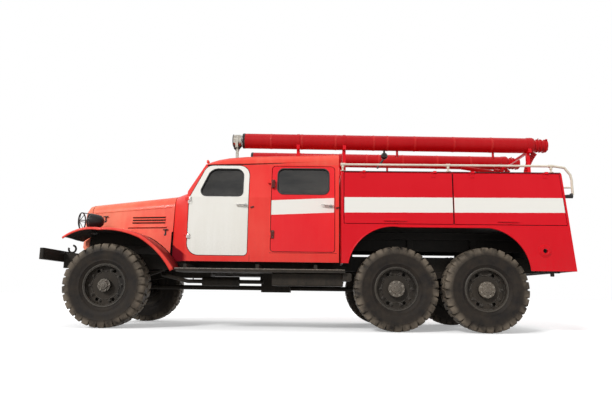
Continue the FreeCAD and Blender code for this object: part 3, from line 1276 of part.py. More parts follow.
# water monitor with its handwheel on the body's roof
MONITOR_X, MONITOR_HEAD = -5330, s.body_top + 250
MONITOR_WHEEL = {"y": 170, "radius": 90}
wheel_low, wheel_high = MONITOR_HEAD - MONITOR_WHEEL["radius"], MONITOR_HEAD + MONITOR_WHEEL["radius"]
wheel_front, wheel_rear = MONITOR_X + MONITOR_WHEEL["radius"], MONITOR_X - MONITOR_WHEEL["radius"]
head = (MONITOR_X, 0, MONITOR_HEAD)
hub = (MONITOR_X, MONITOR_WHEEL["y"], MONITOR_HEAD)
monitor = [
    Part.makeCylinder(70, 20, Vector(MONITOR_X, 0, s.body_top), UP),
    rod((MONITOR_X, 0, s.body_top), head, 38),
    Part.makeSphere(64, Vector(*head)),
    rod(head, (MONITOR_X + 520, 0, MONITOR_HEAD + 80), 30),
    rod(head, hub, 14),
    Part.makeTorus(MONITOR_WHEEL["radius"], 9, Vector(*hub), ACROSS),
    rod((wheel_rear, MONITOR_WHEEL["y"], MONITOR_HEAD), (wheel_front, MONITOR_WHEEL["y"], MONITOR_HEAD), 7),
    rod((MONITOR_X, MONITOR_WHEEL["y"], wheel_low), (MONITOR_X, MONITOR_WHEEL["y"], wheel_high), 7),
]
keep("water_monitor", fuse(monitor))

# rear lamps on the raked wall
lamp_z = 930
lamp = on_rear_wall(block(-32, 0, 880, 1040, -40, 40), lamp_z)
keep("rear_lamps", both_sides(lamp))

# tow hook behind the last cross-member
jaw = rod((s.rail_rear + 30, 0, 870), (s.body_rear_bottom - 8, 0, 870), 24)
plate = block(s.rail_rear + 12, s.rail_rear + 30, -130, 130, 815, 925)
keep("towing_hooks", Part.makeCompound(front_hooks + [fuse([jaw, plate])]))

# ---------------------------------------------------------------- check and write
doc.recompute()
pieces = [
    o for o in doc.Objects
    if o.TypeId in ("Part::Feature", "Part::Cut", "Part::Fillet") and not o.Label.endswith("_holes")
]
faults = [o.Label for o in doc.Objects if "Invalid" in o.State or "Error" in o.State]
faults += [o.Label for o in pieces if o.Shape.isNull() or not o.Shape.isValid() or not o.Shape.Solids]
if faults:
    raise RuntimeError("not valid: " + ", ".join(faults))
os.makedirs("parts", exist_ok=True)
for piece in pieces:
    piece.Shape.exportStep(f"parts/{piece.Label}.step")
print(len(pieces), "sub-parts")
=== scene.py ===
import math

import bmesh
import bpy
from mathutils import Matrix, Vector


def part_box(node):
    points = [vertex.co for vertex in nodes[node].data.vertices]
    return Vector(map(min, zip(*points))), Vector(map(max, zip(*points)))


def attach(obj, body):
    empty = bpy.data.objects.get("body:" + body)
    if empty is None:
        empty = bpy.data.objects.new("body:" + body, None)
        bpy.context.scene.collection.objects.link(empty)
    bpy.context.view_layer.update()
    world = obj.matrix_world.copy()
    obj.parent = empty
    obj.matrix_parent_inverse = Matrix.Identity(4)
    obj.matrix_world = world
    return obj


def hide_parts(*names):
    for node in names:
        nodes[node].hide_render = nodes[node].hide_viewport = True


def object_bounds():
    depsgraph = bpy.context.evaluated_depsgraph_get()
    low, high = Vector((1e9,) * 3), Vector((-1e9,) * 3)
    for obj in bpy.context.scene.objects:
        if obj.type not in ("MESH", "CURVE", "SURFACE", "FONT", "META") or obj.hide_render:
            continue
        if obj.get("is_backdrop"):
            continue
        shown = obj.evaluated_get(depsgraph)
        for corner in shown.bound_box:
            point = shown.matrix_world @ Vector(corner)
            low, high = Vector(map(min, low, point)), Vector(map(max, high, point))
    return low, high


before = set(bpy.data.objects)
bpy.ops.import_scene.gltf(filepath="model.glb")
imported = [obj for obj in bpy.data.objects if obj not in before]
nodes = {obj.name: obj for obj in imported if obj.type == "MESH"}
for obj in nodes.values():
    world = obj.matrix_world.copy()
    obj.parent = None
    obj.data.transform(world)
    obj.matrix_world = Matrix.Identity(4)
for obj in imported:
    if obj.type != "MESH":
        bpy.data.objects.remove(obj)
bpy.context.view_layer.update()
scene = bpy.context.scene

# ------------------------------------------------------------------ camera, floor and light
# The vehicle stands on a plain pale floor under soft studio light.  The camera stands on the left,
# just behind the front wheel, low down, and looks a little upwards.
CAMERA = {"place": (-0.120, 7.597, 0.447), "yaw": 0.953, "pitch": 9.894, "roll": 0.733, "lens": 30.773}

lens = bpy.data.cameras.new("camera")
lens.lens, lens.sensor_width, lens.sensor_fit = CAMERA["lens"], 36, "HORIZONTAL"
lens.clip_end = 200
camera = bpy.data.objects.new("camera", lens)
scene.collection.objects.link(camera)
turn = Matrix.Rotation(math.radians(CAMERA["yaw"]), 3, "Z")
level_right, level_ahead, up = turn @ Vector((-1, 0, 0)), turn @ Vector((0, -1, 0)), Vector((0, 0, 1))
pitch, roll = math.radians(CAMERA["pitch"]), math.radians(CAMERA["roll"])
ahead = math.cos(pitch) * level_ahead + math.sin(pitch) * up
above = math.cos(pitch) * up - math.sin(pitch) * level_ahead
right = math.cos(roll) * level_right + math.sin(roll) * above
above = math.cos(roll) * above - math.sin(roll) * level_right
camera.matrix_world = Matrix.Translation(CAMERA["place"]) @ Matrix((right, above, -ahead)).transposed().to_4x4()
scene.camera = camera
scene.view_settings.view_transform = "Standard"


def node(tree, kind, sockets=None, **settings):
    """Adds a shader node; sockets is {socket's name or number: value, or the output that feeds it}."""
    made = tree.nodes.new("ShaderNode" + kind)
    for name, value in settings.items():
        setattr(made, name, value)
    for name, value in (sockets or {}).items():
        if isinstance(value, bpy.types.NodeSocket):
            tree.links.new(value, made.inputs[name])
        else:
            made.inputs[name].default_value = value
    return made


def calc(tree, operation, *values):
    return node(tree, "Math", dict(enumerate(values)), operation=operation).outputs[0]


def seen_directly(tree):
    """1 for rays from the lens, off gloss or through glass, so that the surroundings look white to them."""
    rays = node(tree, "LightPath").outputs
    mirrored = calc(tree, "MAXIMUM", rays["Is Glossy Ray"], rays["Is Transmission Ray"])
    return calc(tree, "MAXIMUM", rays["Is Camera Ray"], mirrored)


world = bpy.data.worlds.new("studio")
world.use_nodes = True
scene.world = world
tree = world.node_tree
tree.nodes.clear()
AMBIENT = 0.55
strength = node(tree, "Mix", {0: seen_directly(tree), 2: AMBIENT, 3: 1.0}).outputs[0]
backdrop = node(tree, "Background", {"Color": (1, 1, 1, 1), "Strength": strength})
node(tree, "OutputWorld", {"Surface": backdrop.outputs[0]})

# (direction that the light travels, strength, softness in degrees)
LAMPS = {
    "key": ((-0.50, -0.76, -0.56), 2.15, 14),
    "top": ((0.1, 0.05, -1.0), 0.36, 50),
    "far_side": ((0.5, 0.75, -0.35), 0.70, 50),
    "low_fill": ((0.15, -0.95, -0.10), 0.28, 60),
}
for name, (direction, strength, softness) in LAMPS.items():
    sun = bpy.data.lights.new(name, "SUN")
    sun.energy, sun.angle = strength, math.radians(softness)
    lamp = bpy.data.objects.new(name, sun)
    lamp.rotation_mode = "QUATERNION"
    lamp.rotation_quaternion = Vector(direction).to_track_quat("-Z", "Y")
    scene.collection.objects.link(lamp)

ground = bpy.data.meshes.new("floor")
bm = bmesh.new()
bmesh.ops.create_grid(bm, x_segments=1, y_segments=1, size=60)
bm.to_mesh(ground)
bm.free()
floor = bpy.data.objects.new("floor", ground)
scene.collection.objects.link(floor)
floor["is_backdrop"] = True
pale = bpy.data.materials.new("pale_floor")
pale.use_nodes = True
tree = pale.node_tree
tree.nodes.clear()
shade = node(tree, "Mix", {0: seen_directly(tree), 2: 0.30, 3: 0.92}).outputs[0]
matt = node(tree, "BsdfDiffuse", {"Color": node(tree, "CombineColor", {0: shade, 1: shade, 2: shade}).outputs[0]})
lift = node(tree, "Emission", {"Strength": calc(tree, "MULTIPLY", seen_directly(tree), 0.32)})
both = node(tree, "AddShader", {0: matt.outputs[0], 1: lift.outputs[0]})
node(tree, "OutputMaterial", {"Surface": both.outputs[0]})
ground.materials.append(pale)

# ------------------------------------------------------------------ frame rails, axles and everything under the floor
# Riveted pressed-steel rails, leaf springs, banjo axles, shafts, exhaust and boards.  Brushed over in black
# chassis paint that is dull with road dust, worn to grey steel along the edges.


def shader_group(name, inputs, outputs):
    """New node group with named sockets; returns it, its inputs by name and its end node."""
    group = bpy.data.node_groups.new(name, "ShaderNodeTree")
    for label, value in inputs.items():
        kind = "NodeSocketColor" if isinstance(value, tuple) else "NodeSocketFloat"
        group.interface.new_socket(label, in_out="INPUT", socket_type=kind).default_value = value
    for label, kind in outputs.items():
        group.interface.new_socket(label, in_out="OUTPUT", socket_type=kind)
    return group, group.nodes.new("NodeGroupInput").outputs, group.nodes.new("NodeGroupOutput")


def feed(tree, end, values):
    for name, value in values.items():
        tree.links.new(value, end.inputs[name])


def blend_colours(tree, share, first, second):
    return node(tree, "Mix", {0: share, 6: first, 7: second}, data_type="RGBA").outputs[2]


def noise(tree, where, scale, detail=3.0, roughness=0.5):
    made = node(tree, "TexNoise", {"Vector": where, "Scale": scale, "Detail": detail, "Roughness": roughness})
    return made.outputs["Fac"]


def ramp(tree, value, low, high, to_low=0.0, to_high=1.0):
    made = node(tree, "MapRange", {0: value, 1: low, 2: high, 3: to_low, 4: to_high}, clamp=True)
    return made.outputs[0]


def here(tree):
    return node(tree, "TexCoord").outputs["Object"]


def axes(tree):
    """The same point as three outputs named X, Y and Z."""
    return node(tree, "SeparateXYZ", {0: here(tree)}).outputs


# Paint as it ages: cloudy fading, faint runs, road dust that thickens towards the ground, uneven gloss.
AGED, given, end = shader_group(
    "aged_paint",
    {"Colour": (0.5, 0.5, 0.5, 1), "Faded": (0.6, 0.5, 0.5, 1), "Dirt": (0.09, 0.07, 0.05, 1), "Fading": 0.5,
     "Dust": 0.3, "Dust Top": 1.0, "Gloss": 0.35},
    {"Colour": "NodeSocketColor", "Roughness": "NodeSocketFloat", "Height": "NodeSocketFloat"},
)
place = here(AGED)
cloud = noise(AGED, place, 1.3, 4.0, 0.55)
stretched = node(AGED, "Mapping", {"Vector": place, "Scale": (9.0, 9.0, 0.7)}).outputs[0]
runs = noise(AGED, stretched, 1.6, 4.0, 0.6)
fading = calc(AGED, "MULTIPLY", ramp(AGED, calc(AGED, "MULTIPLY_ADD", runs, 0.35, cloud), 0.5, 0.95), given["Fading"])
low_down = ramp(AGED, axes(AGED)["Z"], 0.2, given["Dust Top"], 1.0, 0.0)
speckle = noise(AGED, place, 38.0, 5.0, 0.7)
dust = calc(AGED, "MULTIPLY", ramp(AGED, calc(AGED, "MULTIPLY_ADD", runs, 0.6, speckle), 0.55, 1.05), low_down)
dust = calc(AGED, "MULTIPLY", dust, given["Dust"])
coloured = blend_colours(AGED, fading, given["Colour"], given["Faded"])
coloured = blend_colours(AGED, dust, coloured, given["Dirt"])
gloss = calc(AGED, "MULTIPLY_ADD", dust, 0.45, calc(AGED, "MULTIPLY_ADD", cloud, 0.16, given["Gloss"]))
orange_peel = noise(AGED, place, 260.0, 2.0)
beaten = noise(AGED, place, 4.5, 2.0)
peel = calc(AGED, "MULTIPLY_ADD", orange_peel, 0.04, calc(AGED, "MULTIPLY", beaten, 0.9))
feed(AGED, end, {"Colour": coloured, "Roughness": gloss, "Height": peel})

# Bare edges: 1 along sharp corners, broken up as rubbing leaves them.
RUBBED, given, end = shader_group("rubbed_edges", {"Breakup": 30.0, "Reach": 0.5}, {"Mask": "NodeSocketFloat"})
soft_corner = node(RUBBED, "Bevel", {"Radius": 0.006}, samples=4).outputs[0]
true_face = node(RUBBED, "NewGeometry").outputs["Normal"]
agreement = node(RUBBED, "VectorMath", {0: soft_corner, 1: true_face}, operation="DOT_PRODUCT").outputs["Value"]
corner = ramp(RUBBED, agreement, 0.995, 0.90)
patches = noise(RUBBED, here(RUBBED), given["Breakup"], 4.0, 0.6)
mask = calc(RUBBED, "MULTIPLY", corner, calc(RUBBED, "GREATER_THAN", patches, given["Reach"]))
feed(RUBBED, end, {"Mask": mask})

# Grain of cast iron, rubber and other rough skins, as a height.
GRAIN, given, end = shader_group(
    "rough_grain", {"Scale": 120.0}, {"Height": "NodeSocketFloat", "Pits": "NodeSocketFloat"},
)
fine = noise(GRAIN, here(GRAIN), given["Scale"], 6.0, 0.7)
coarse = noise(GRAIN, here(GRAIN), calc(GRAIN, "MULTIPLY", given["Scale"], 0.12), 3.0)
feed(GRAIN, end, {"Height": calc(GRAIN, "MULTIPLY_ADD", coarse, 0.6, fine), "Pits": ramp(GRAIN, fine, 0.62, 0.75)})


def group_node(tree, group, sockets=None):
    return node(tree, "Group", sockets, node_tree=group).outputs


def new_finish(name):
    """Material with a Principled shader; returns the material, its tree and the shader."""
    made = bpy.data.materials.new(name)
    made.use_nodes = True
    return made, made.node_tree, made.node_tree.nodes["Principled BSDF"]


def bump(tree, shader, height, strength, distance):
    made = node(tree, "Bump", {"Height": height, "Strength": strength, "Distance": distance})
    tree.links.new(made.outputs[0], shader.inputs["Normal"])


def painted(name, colour, faded, fading=0.5, dust=0.3, dust_top=1.0, gloss=0.3, coat=0.1, worn=None, relief=0.0025,
            sheen=0.12):
    """Aged paint on sheet metal; worn is the bare metal's colour where edges are rubbed, sheen its specular level."""
    made, tree, shader = new_finish(name)
    skin = group_node(tree, AGED, {
        "Colour": colour, "Faded": faded, "Fading": fading, "Dust": dust, "Dust Top": dust_top, "Gloss": gloss,
    })
    surface = skin["Colour"]
    if worn:
        mask = group_node(tree, RUBBED, {"Breakup": 42.0, "Reach": 0.47})["Mask"]
        surface = blend_colours(tree, mask, surface, worn)
    feed(tree, shader, {"Base Color": surface, "Roughness": skin["Roughness"]})
    shader.inputs["Specular IOR Level"].default_value = sheen
    shader.inputs["Coat Weight"].default_value = coat
    shader.inputs["Coat Roughness"].default_value = 0.12
    bump(tree, shader, skin["Height"], 0.5, relief)
    return made


def finish(material, *names):
    """Gives CAD nodes a material."""
    for name in names:
        slots = nodes[name].data.materials
        slots.clear()
        slots.append(material)


chassis_black = painted(
    "chassis_black", (0.012, 0.011, 0.010, 1), (0.030, 0.025, 0.020, 1), fading=0.7, dust=0.55, dust_top=1.3,
    gloss=0.42, coat=0.0, worn=(0.10, 0.09, 0.08, 1), relief=0.004,
)
finish(
    chassis_black, "frame_rails", "front_axle", "rear_axles", "leaf_springs", "driveline", "exhaust_pipe",
    "side_boxes", "knuckle_left", "knuckle_right", "front_bumper", "towing_hooks", "running_boards",
)
cast_grey, tree, shader = new_finish("cast_grey")
skin = group_node(tree, AGED, {
    "Colour": (0.07, 0.075, 0.075, 1), "Faded": (0.15, 0.12, 0.09, 1), "Fading": 0.8, "Dust": 0.4, "Dust Top": 1.8,
    "Gloss": 0.5,
})
grain = group_node(tree, GRAIN, {"Scale": 90.0})
feed(tree, shader, {
    "Base Color": blend_colours(tree, grain["Pits"], skin["Colour"], (0.03, 0.025, 0.02, 1)),
    "Roughness": skin["Roughness"],
})
bump(tree, shader, grain["Height"], 0.6, 0.002)
finish(cast_grey, "engine_and_radiator", "pump_unit")

# ------------------------------------------------------------------ tyres
# Cross-country tyres of dark rubber: deep slanted lugs alternate across the middle groove and run down over the
# shoulders.  Dried mud greys the tread, and the smooth walls carry moulded rings.
axle_of = {}
for place in [f"{axle}_{side}" for axle in ("front", "middle", "rear") for side in ("left", "right")]:
    low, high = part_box(f"tyre_{place}")
    axle_of[place] = (low + high) / 2
TYRE_R, BEAD_R, TYRE_HALF, TREAD_HALF = 0.527, 0.262, 0.147, 0.130
LUG_COUNT, LUG_DEPTH = 30, 0.016
root_r = TYRE_R - LUG_DEPTH


def spun(profile, steps, axis=(0, 1, 0)):
    """New bmesh: a profile of (radius, along) points turned about the axis; Y, or X for lamps and cases."""
    made = bmesh.new()
    if axis == (0, 1, 0):
        ring = [made.verts.new((0, along, radius)) for radius, along in profile]
    else:
        ring = [made.verts.new((along, 0, radius)) for radius, along in profile]
    rim = [made.edges.new(pair) for pair in zip(ring, ring[1:])]
    bmesh.ops.spin(
        made, geom=ring + rim, cent=(0, 0, 0), axis=axis, angle=2 * math.pi, steps=steps, use_merge=True,
    )
    bmesh.ops.remove_doubles(made, verts=made.verts, dist=1e-5)
    bmesh.ops.recalc_face_normals(made, faces=made.faces)
    return made


def copy_into(target, source, matrix=Matrix()):
    """Adds a moved copy of one bmesh to another."""
    holder = bpy.data.meshes.new("copy")
    source.to_mesh(holder)
    holder.transform(matrix)
    if matrix.determinant() < 0:
        holder.flip_normals()
    target.from_mesh(holder)
    bpy.data.meshes.remove(holder)


def piece(name, mesh, material, body, stands_for=(), smooth=35):
    """Turns a bmesh into a finished piece that rides on a CAD body."""
    data = bpy.data.meshes.new(name)
    mesh.to_mesh(data)
    mesh.free()
    data.materials.append(material)
    made = bpy.data.objects.new(name, data)
    scene.collection.objects.link(made)
    if smooth:
        data.shade_smooth()
        data.set_sharp_from_angle(angle=math.radians(smooth))
    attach(made, body)
    if stands_for:
        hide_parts(*stands_for)
    return made


wall = [
    (BEAD_R, 0.096), (BEAD_R + 0.010, 0.103), (BEAD_R + 0.016, 0.112), (BEAD_R + 0.024, 0.117), (0.305, 0.128),
    (0.311, 0.134), (0.317, 0.134), (0.322, 0.133), (0.345, 0.141), (0.385, TYRE_HALF), (0.420, TYRE_HALF - 0.001),
    (0.428, 0.149), (0.434, 0.149), (0.440, 0.1445), (0.462, 0.140), (0.482, 0.131), (0.495, 0.118),
    (root_r - 0.002, 0.095), (root_r, 0.05), (root_r, 0.008),
]
carcass = spun(wall + [(r, -y) for r, y in reversed(wall)] + wall[:1], 120)

lug = bmesh.new()
bmesh.ops.create_cube(lug, size=1)
bmesh.ops.subdivide_edges(
    lug, edges=[e for e in lug.edges if abs(e.verts[0].co.y - e.verts[1].co.y) > 0.5], cuts=5, use_grid_fill=True,
)
bmesh.ops.bevel(
    lug, geom=[e for e in lug.edges if all(v.co.z > 0.4 for v in e.verts) and e.is_manifold
               and e.calc_face_angle(0) > 0.7],
    offset=0.10, segments=1, affect="EDGES", profile=0.5, material=-1,
)
# across goes from the middle groove, 0, to the shoulder, 1, and out from the carcass, 0, to the lug's top, 1
PITCH = 2 * math.pi * TYRE_R / LUG_COUNT
GROOVE_HALF, LUG_REACH, ROLL_OVER, SLANT = 0.006, 0.139, 0.021, 0.020
for v in lug.verts:
    across, out = v.co.y + 0.5, v.co.z + 0.5
    narrow = (0.74 if out > 0.5 else 0.82) * (1 - 0.04 * across)
    y = GROOVE_HALF + across * LUG_REACH
    over = max(0.0, (y - TREAD_HALF + GROOVE_HALF) / ROLL_OVER)
    top = TYRE_R - 0.004 * across - 0.030 * over ** 1.6
    bottom = root_r - 0.006 - 0.060 * over
    v.co = Vector((v.co.x * PITCH * narrow + (across - 0.5) * SLANT, y, bottom + (top - bottom) * min(out, 1.0)))
bmesh.ops.recalc_face_normals(lug, faces=lug.faces)
shoulder = bmesh.new()
bmesh.ops.create_cube(shoulder, size=1)
for v in shoulder.verts:
    outward, height = v.co.y + 0.5, v.co.z + 0.5
    width = PITCH * (0.72 - 0.16 * (1 - height))
    v.co = Vector((v.co.x * width + 0.012, 0.116 + outward * (0.020 + 0.013 * (1 - height)), 0.425 + height * 0.086))
bmesh.ops.bevel(
    shoulder, geom=[e for e in shoulder.edges if all(v.co.y > 0.13 for v in e.verts)], offset=0.004, segments=1,
    affect="EDGES", profile=0.5, material=-1,
)
for k in range(LUG_COUNT):
    for flip in (1, -1):
        spot = Matrix.Rotation(2 * math.pi * (k + (0.5 if flip < 0 else 0)) / LUG_COUNT, 4, "Y")
        mirrored = Matrix.Scale(flip, 4, (0, 1, 0))
        copy_into(carcass, lug, spot @ mirrored)
        copy_into(carcass, shoulder, spot @ mirrored)
lug.free()
shoulder.free()
# how far up the tread a point is, for the mud: 0 on the walls, 1 on the lugs
MUD_LOW, MUD_RISE = 0.425, 0.085
wear = carcass.verts.layers.float.new("tread")
for v in carcass.verts:
    v[wear] = max(0.0, min(1.0, (math.hypot(v.co.x, v.co.z) - MUD_LOW) / MUD_RISE))

tyre_rubber, tree, shader = new_finish("tyre_rubber")
shader.inputs["Specular IOR Level"].default_value = 0.15
tread = node(tree, "Attribute", attribute_name="tread").outputs["Fac"]
grain = group_node(tree, GRAIN, {"Scale": 140.0})
blotches = noise(tree, here(tree), 7.0, 5.0, 0.6)
wall_colour = blend_colours(tree, ramp(tree, blotches, 0.35, 0.75), (0.010, 0.008, 0.007, 1), (0.036, 0.028, 0.021, 1))
mud = calc(tree, "MULTIPLY", tread, ramp(tree, blotches, 0.3, 0.62))
feed(tree, shader, {
    "Base Color": blend_colours(tree, mud, wall_colour, (0.210, 0.170, 0.128, 1)),
    "Roughness": ramp(tree, blotches, 0.3, 0.8, 0.50, 0.80),
})
bump(tree, shader, grain["Height"], 0.5, 0.0015)
for place, middle in axle_of.items():
    mesh = bmesh.new()
    side = -1 if place.endswith("right") else 1
    copy_into(mesh, carcass, Matrix.Translation(middle) @ Matrix.Scale(side, 4, (0, 1, 0)))
    piece(f"tyre_tread_{place}", mesh, tyre_rubber, f"wheel_{place}", [f"tyre_{place}"])
carcass.free()

# ------------------------------------------------------------------ wheels
# Pressed disc wheels with a split lock ring, held by ten nuts; drive flanges with studs behind, a greased cap in
# front.  Chassis black over cast and pressed steel, greyed with dust.
wheel_black = painted(
    "wheel_black", (0.013, 0.012, 0.011, 1), (0.042, 0.034, 0.026, 1), fading=0.9, dust=0.35, dust_top=1.2,
    gloss=0.40, coat=0.0, worn=(0.11, 0.10, 0.09, 1),
)
rubbed_black = painted(
    "rubbed_black", (0.018, 0.016, 0.013, 1), (0.052, 0.043, 0.034, 1), fading=0.9, dust=0.3, dust_top=1.2, gloss=0.36,
    coat=0.0, worn=(0.10, 0.09, 0.075, 1), sheen=0.3,
)
greasy_steel = painted(
    "greasy_steel", (0.034, 0.026, 0.018, 1), (0.125, 0.100, 0.072, 1), fading=1.0, dust=0.4, dust_top=1.2, gloss=0.30,
    coat=0.0, worn=(0.34, 0.30, 0.25, 1), sheen=0.5,
)
NUTS, NUT_CIRCLE, DISC_FACE = 10, 0.200, 0.044
# profiles of (radius, along the axle): lock ring, then the rim's rolled edge, a ring on the disc and its backing
LOCK_RING = [(0.250, 0.104), (0.258, 0.113), (0.268, 0.114), (0.276, 0.108), (0.272, 0.098), (0.250, 0.098)]
DISC_RINGS = [
    ([(0.240, 0.044), (0.244, 0.060), (0.238, 0.061), (0.232, 0.046), (0.240, 0.044)], 72),
    ([(0.170, 0.044), (0.176, 0.050), (0.184, 0.044), (0.170, 0.044)], 72),
    ([(0.150, -0.014), (0.226, -0.020), (0.236, -0.008), (0.238, -0.024), (0.150, -0.022), (0.150, -0.014)], 48),
]
HUBS = {
    "steered": {
        "cap": [(0.0, 0.150), (0.020, 0.150), (0.024, 0.146), (0.024, 0.138), (0.046, 0.136), (0.052, 0.130),
                (0.054, 0.113), (0.078, 0.112), (0.078, 0.104), (0.0, 0.104)],
        "studs": 6, "circle": 0.064, "face": 0.112,
    },
    "rear": {
        "cap": [(0.0, 0.142), (0.030, 0.142), (0.036, 0.134), (0.060, 0.130), (0.066, 0.120), (0.098, 0.118),
                (0.103, 0.112), (0.103, 0.100), (0.0, 0.100)],
        "studs": 8, "circle": 0.083, "face": 0.118,
    },
}


def add_spun(mesh, profile, steps, matrix=Matrix(), axis=(0, 1, 0)):
    """Adds a turned profile, moved by the matrix."""
    turned = spun(profile, steps, axis)
    copy_into(mesh, turned, matrix)
    turned.free()


def nut(across, height):
    """Hexagon nut on its washer with the stud's end, standing on Y = 0 and pointing to +Y."""
    made = bmesh.new()
    for sides, radius, low, high in ((12, across * 0.75, 0, height * 0.2), (6, across * 0.577, height * 0.2, height),
                                     (8, across * 0.28, height, height * 1.45)):
        ends = bmesh.ops.create_cone(
            made, cap_ends=True, segments=sides, radius1=radius, radius2=radius * (0.92 if sides == 6 else 1),
            depth=high - low,
        )["verts"]
        bmesh.ops.translate(made, verts=ends, vec=(0, 0, (low + high) / 2))
    bmesh.ops.rotate(made, verts=made.verts, matrix=Matrix.Rotation(-math.pi / 2, 3, "X"))
    return made


wheel_nut, stud_nut = nut(0.030, 0.018), nut(0.019, 0.012)
for place, middle in axle_of.items():
    side = -1 if place.endswith("right") else 1
    hub = HUBS["steered" if place.startswith("front") else "rear"]
    trim, lock_ring, cap = bmesh.new(), spun(LOCK_RING, 72), spun(hub["cap"], 48)
    for profile, steps in DISC_RINGS:
        add_spun(trim, profile, steps)
    for target, count, ring, height, kind in (
        (trim, NUTS, NUT_CIRCLE, DISC_FACE, wheel_nut), (cap, hub["studs"], hub["circle"], hub["face"], stud_nut),
    ):
        for k in range(count):
            around = Matrix.Rotation(2 * math.pi * (k + 0.5) / count, 4, "Y")
            copy_into(target, kind, around @ Matrix.Translation((0, height, ring)))
    for name, source, material in (
        ("wheel_fittings", trim, wheel_black), ("lock_ring", lock_ring, rubbed_black), ("hub_cap", cap, greasy_steel),
    ):
        mesh = bmesh.new()
        copy_into(mesh, source, Matrix.Translation(middle) @ Matrix.Scale(side, 4, (0, 1, 0)))
        source.free()
        piece(f"{name}_{place}", mesh, material, f"wheel_{place}")
    finish(wheel_black, f"wheel_{place}")
wheel_nut.free()
stud_nut.free()

# ------------------------------------------------------------------ bonnet and nose
# Butterfly bonnet of two pressed halves on a middle hinge, with pressed louvres, rolled mouldings and tee latches
# that hook over the side panels.  The nose shell carries an upright grille of round-edged bars.
AXLE_X = axle_of["front_left"].x


def at(x, y, z):
    """A point given from the front axle's middle line, from the middle plane and from the ground."""
    return Vector((AXLE_X + x, y, z))


def base_of(material):
    """A painted material's tree, its shader and the output that feeds the base colour."""
    tree = material.node_tree
    shader = tree.nodes["Principled BSDF"]
    return tree, shader, shader.inputs["Base Color"].links[0].from_socket


cab_red = painted(
    "cab_red", (0.78, 0.048, 0.033, 1), (0.82, 0.145, 0.090, 1), fading=0.9, dust=0.20, dust_top=1.4, gloss=0.26,
    coat=0.08,
)
bonnet_red = painted(
    "bonnet_red", (0.78, 0.045, 0.032, 1), (0.88, 0.190, 0.115, 1), fading=0.9, dust=0.10, dust_top=1.4, gloss=0.26,
    coat=0.08,
)
# lighter towards the nose: partly faded paint, partly a painted highlight where the sun's glare falls
tree, shader, fresh = base_of(bonnet_red)
forward = ramp(tree, axes(tree)["X"], AXLE_X - 0.72, AXLE_X + 0.42, 0.10, 0.80)
faded_and_lit = calc(tree, "MULTIPLY", forward, ramp(tree, noise(tree, here(tree), 2.6, 4.0, 0.6), 0.25, 0.60, 0.45, 1.0))
feed(tree, shader, {"Base Color": blend_colours(tree, faded_and_lit, fresh, (0.86, 0.300, 0.172, 1))})
BONNET = {"front": 0.440, "rear": -0.740, "foot": 1.250, "flare": 0.032}
# half width and height of the crease at the front and at the rear
HALF_WIDTH, CREASE = (0.450, 0.620), (1.516, 1.591)


def along_bonnet(pair, x):
    share = (BONNET["front"] - x) / (BONNET["front"] - BONNET["rear"])
    return pair[0] + (pair[1] - pair[0]) * share


def bonnet_side(x, z, proud=0.0):
    """Point on the left side panel, standing proud of it."""
    crease = along_bonnet(CREASE, x)
    y = along_bonnet(HALF_WIDTH, x) + BONNET["flare"] * (crease - z) / (crease - BONNET["foot"])
    return at(x, y + proud, z)


def slab(mesh, size, place, turn=None, round_off=0.0, segments=2):
    """Adds a bevelled block; turn is a 3 by 3 rotation about its middle."""
    corners = bmesh.ops.create_cube(mesh, size=1)["verts"]
    bmesh.ops.scale(mesh, verts=corners, vec=size)
    if round_off:
        edges = list(dict.fromkeys(e for v in corners for e in v.link_edges))
        made = bmesh.ops.bevel(
            mesh, geom=edges, offset=round_off, segments=segments, affect="EDGES", profile=0.5, material=-1,
        )
        rounded_off = [v for f in made["faces"] for v in f.verts]
        corners = list(dict.fromkeys(rounded_off + [v for v in corners if v.is_valid]))
    if turn is not None:
        bmesh.ops.rotate(mesh, verts=corners, matrix=turn)
    bmesh.ops.translate(mesh, verts=corners, vec=place)
    return corners


def stick(mesh, start, end, radius, sides=12, tip=None):
    """Adds a round bar from start to end, tapering to tip."""
    run = Vector(end) - Vector(start)
    verts = bmesh.ops.create_cone(
        mesh, cap_ends=True, segments=sides, radius1=radius, radius2=radius if tip is None else tip, depth=run.length,
    )["verts"]
    bmesh.ops.rotate(mesh, verts=verts, matrix=run.to_track_quat("Z", "Y").to_matrix())
    bmesh.ops.translate(mesh, verts=verts, vec=Vector(start) + run / 2)


MIRROR = Matrix.Scale(-1, 4, (0, 1, 0))


def on_both_sides(mesh):
    """Adds the mirror image on the vehicle's right."""
    twin = mesh.copy()
    copy_into(mesh, twin, MIRROR)
    twin.free()


def to_right(mesh):
    """Turns what was made for the vehicle's left into its mirror image on the right."""
    twin = mesh.copy()
    mesh.clear()
    copy_into(mesh, twin, MIRROR)
    twin.free()


def swept(points, radius, closed=False):
    """New bmesh: a rounded moulding, wire or rubber along points, drawn as a bevelled curve."""
    line = bpy.data.curves.new("line", "CURVE")
    line.dimensions, line.bevel_depth, line.bevel_resolution, line.use_fill_caps = "3D", radius, 3, True
    spline = line.splines.new("POLY")
    spline.points.add(len(points) - 1)
    for spot, point in zip(spline.points, points):
        spot.co = (*point, 1)
    spline.use_cyclic_u = closed
    holder = bpy.data.objects.new("line", line)
    scene.collection.objects.link(holder)
    drawn = bpy.data.meshes.new_from_object(holder)
    made = bmesh.new()
    made.from_mesh(drawn)
    bpy.data.objects.remove(holder)
    bpy.data.meshes.remove(drawn)
    bpy.data.curves.remove(line)
    return made


def add_bead(mesh, points, radius, closed=False):
    """Adds a moulding, wire or rubber along points."""
    bead = swept(points, radius, closed)
    copy_into(mesh, bead)
    bead.free()
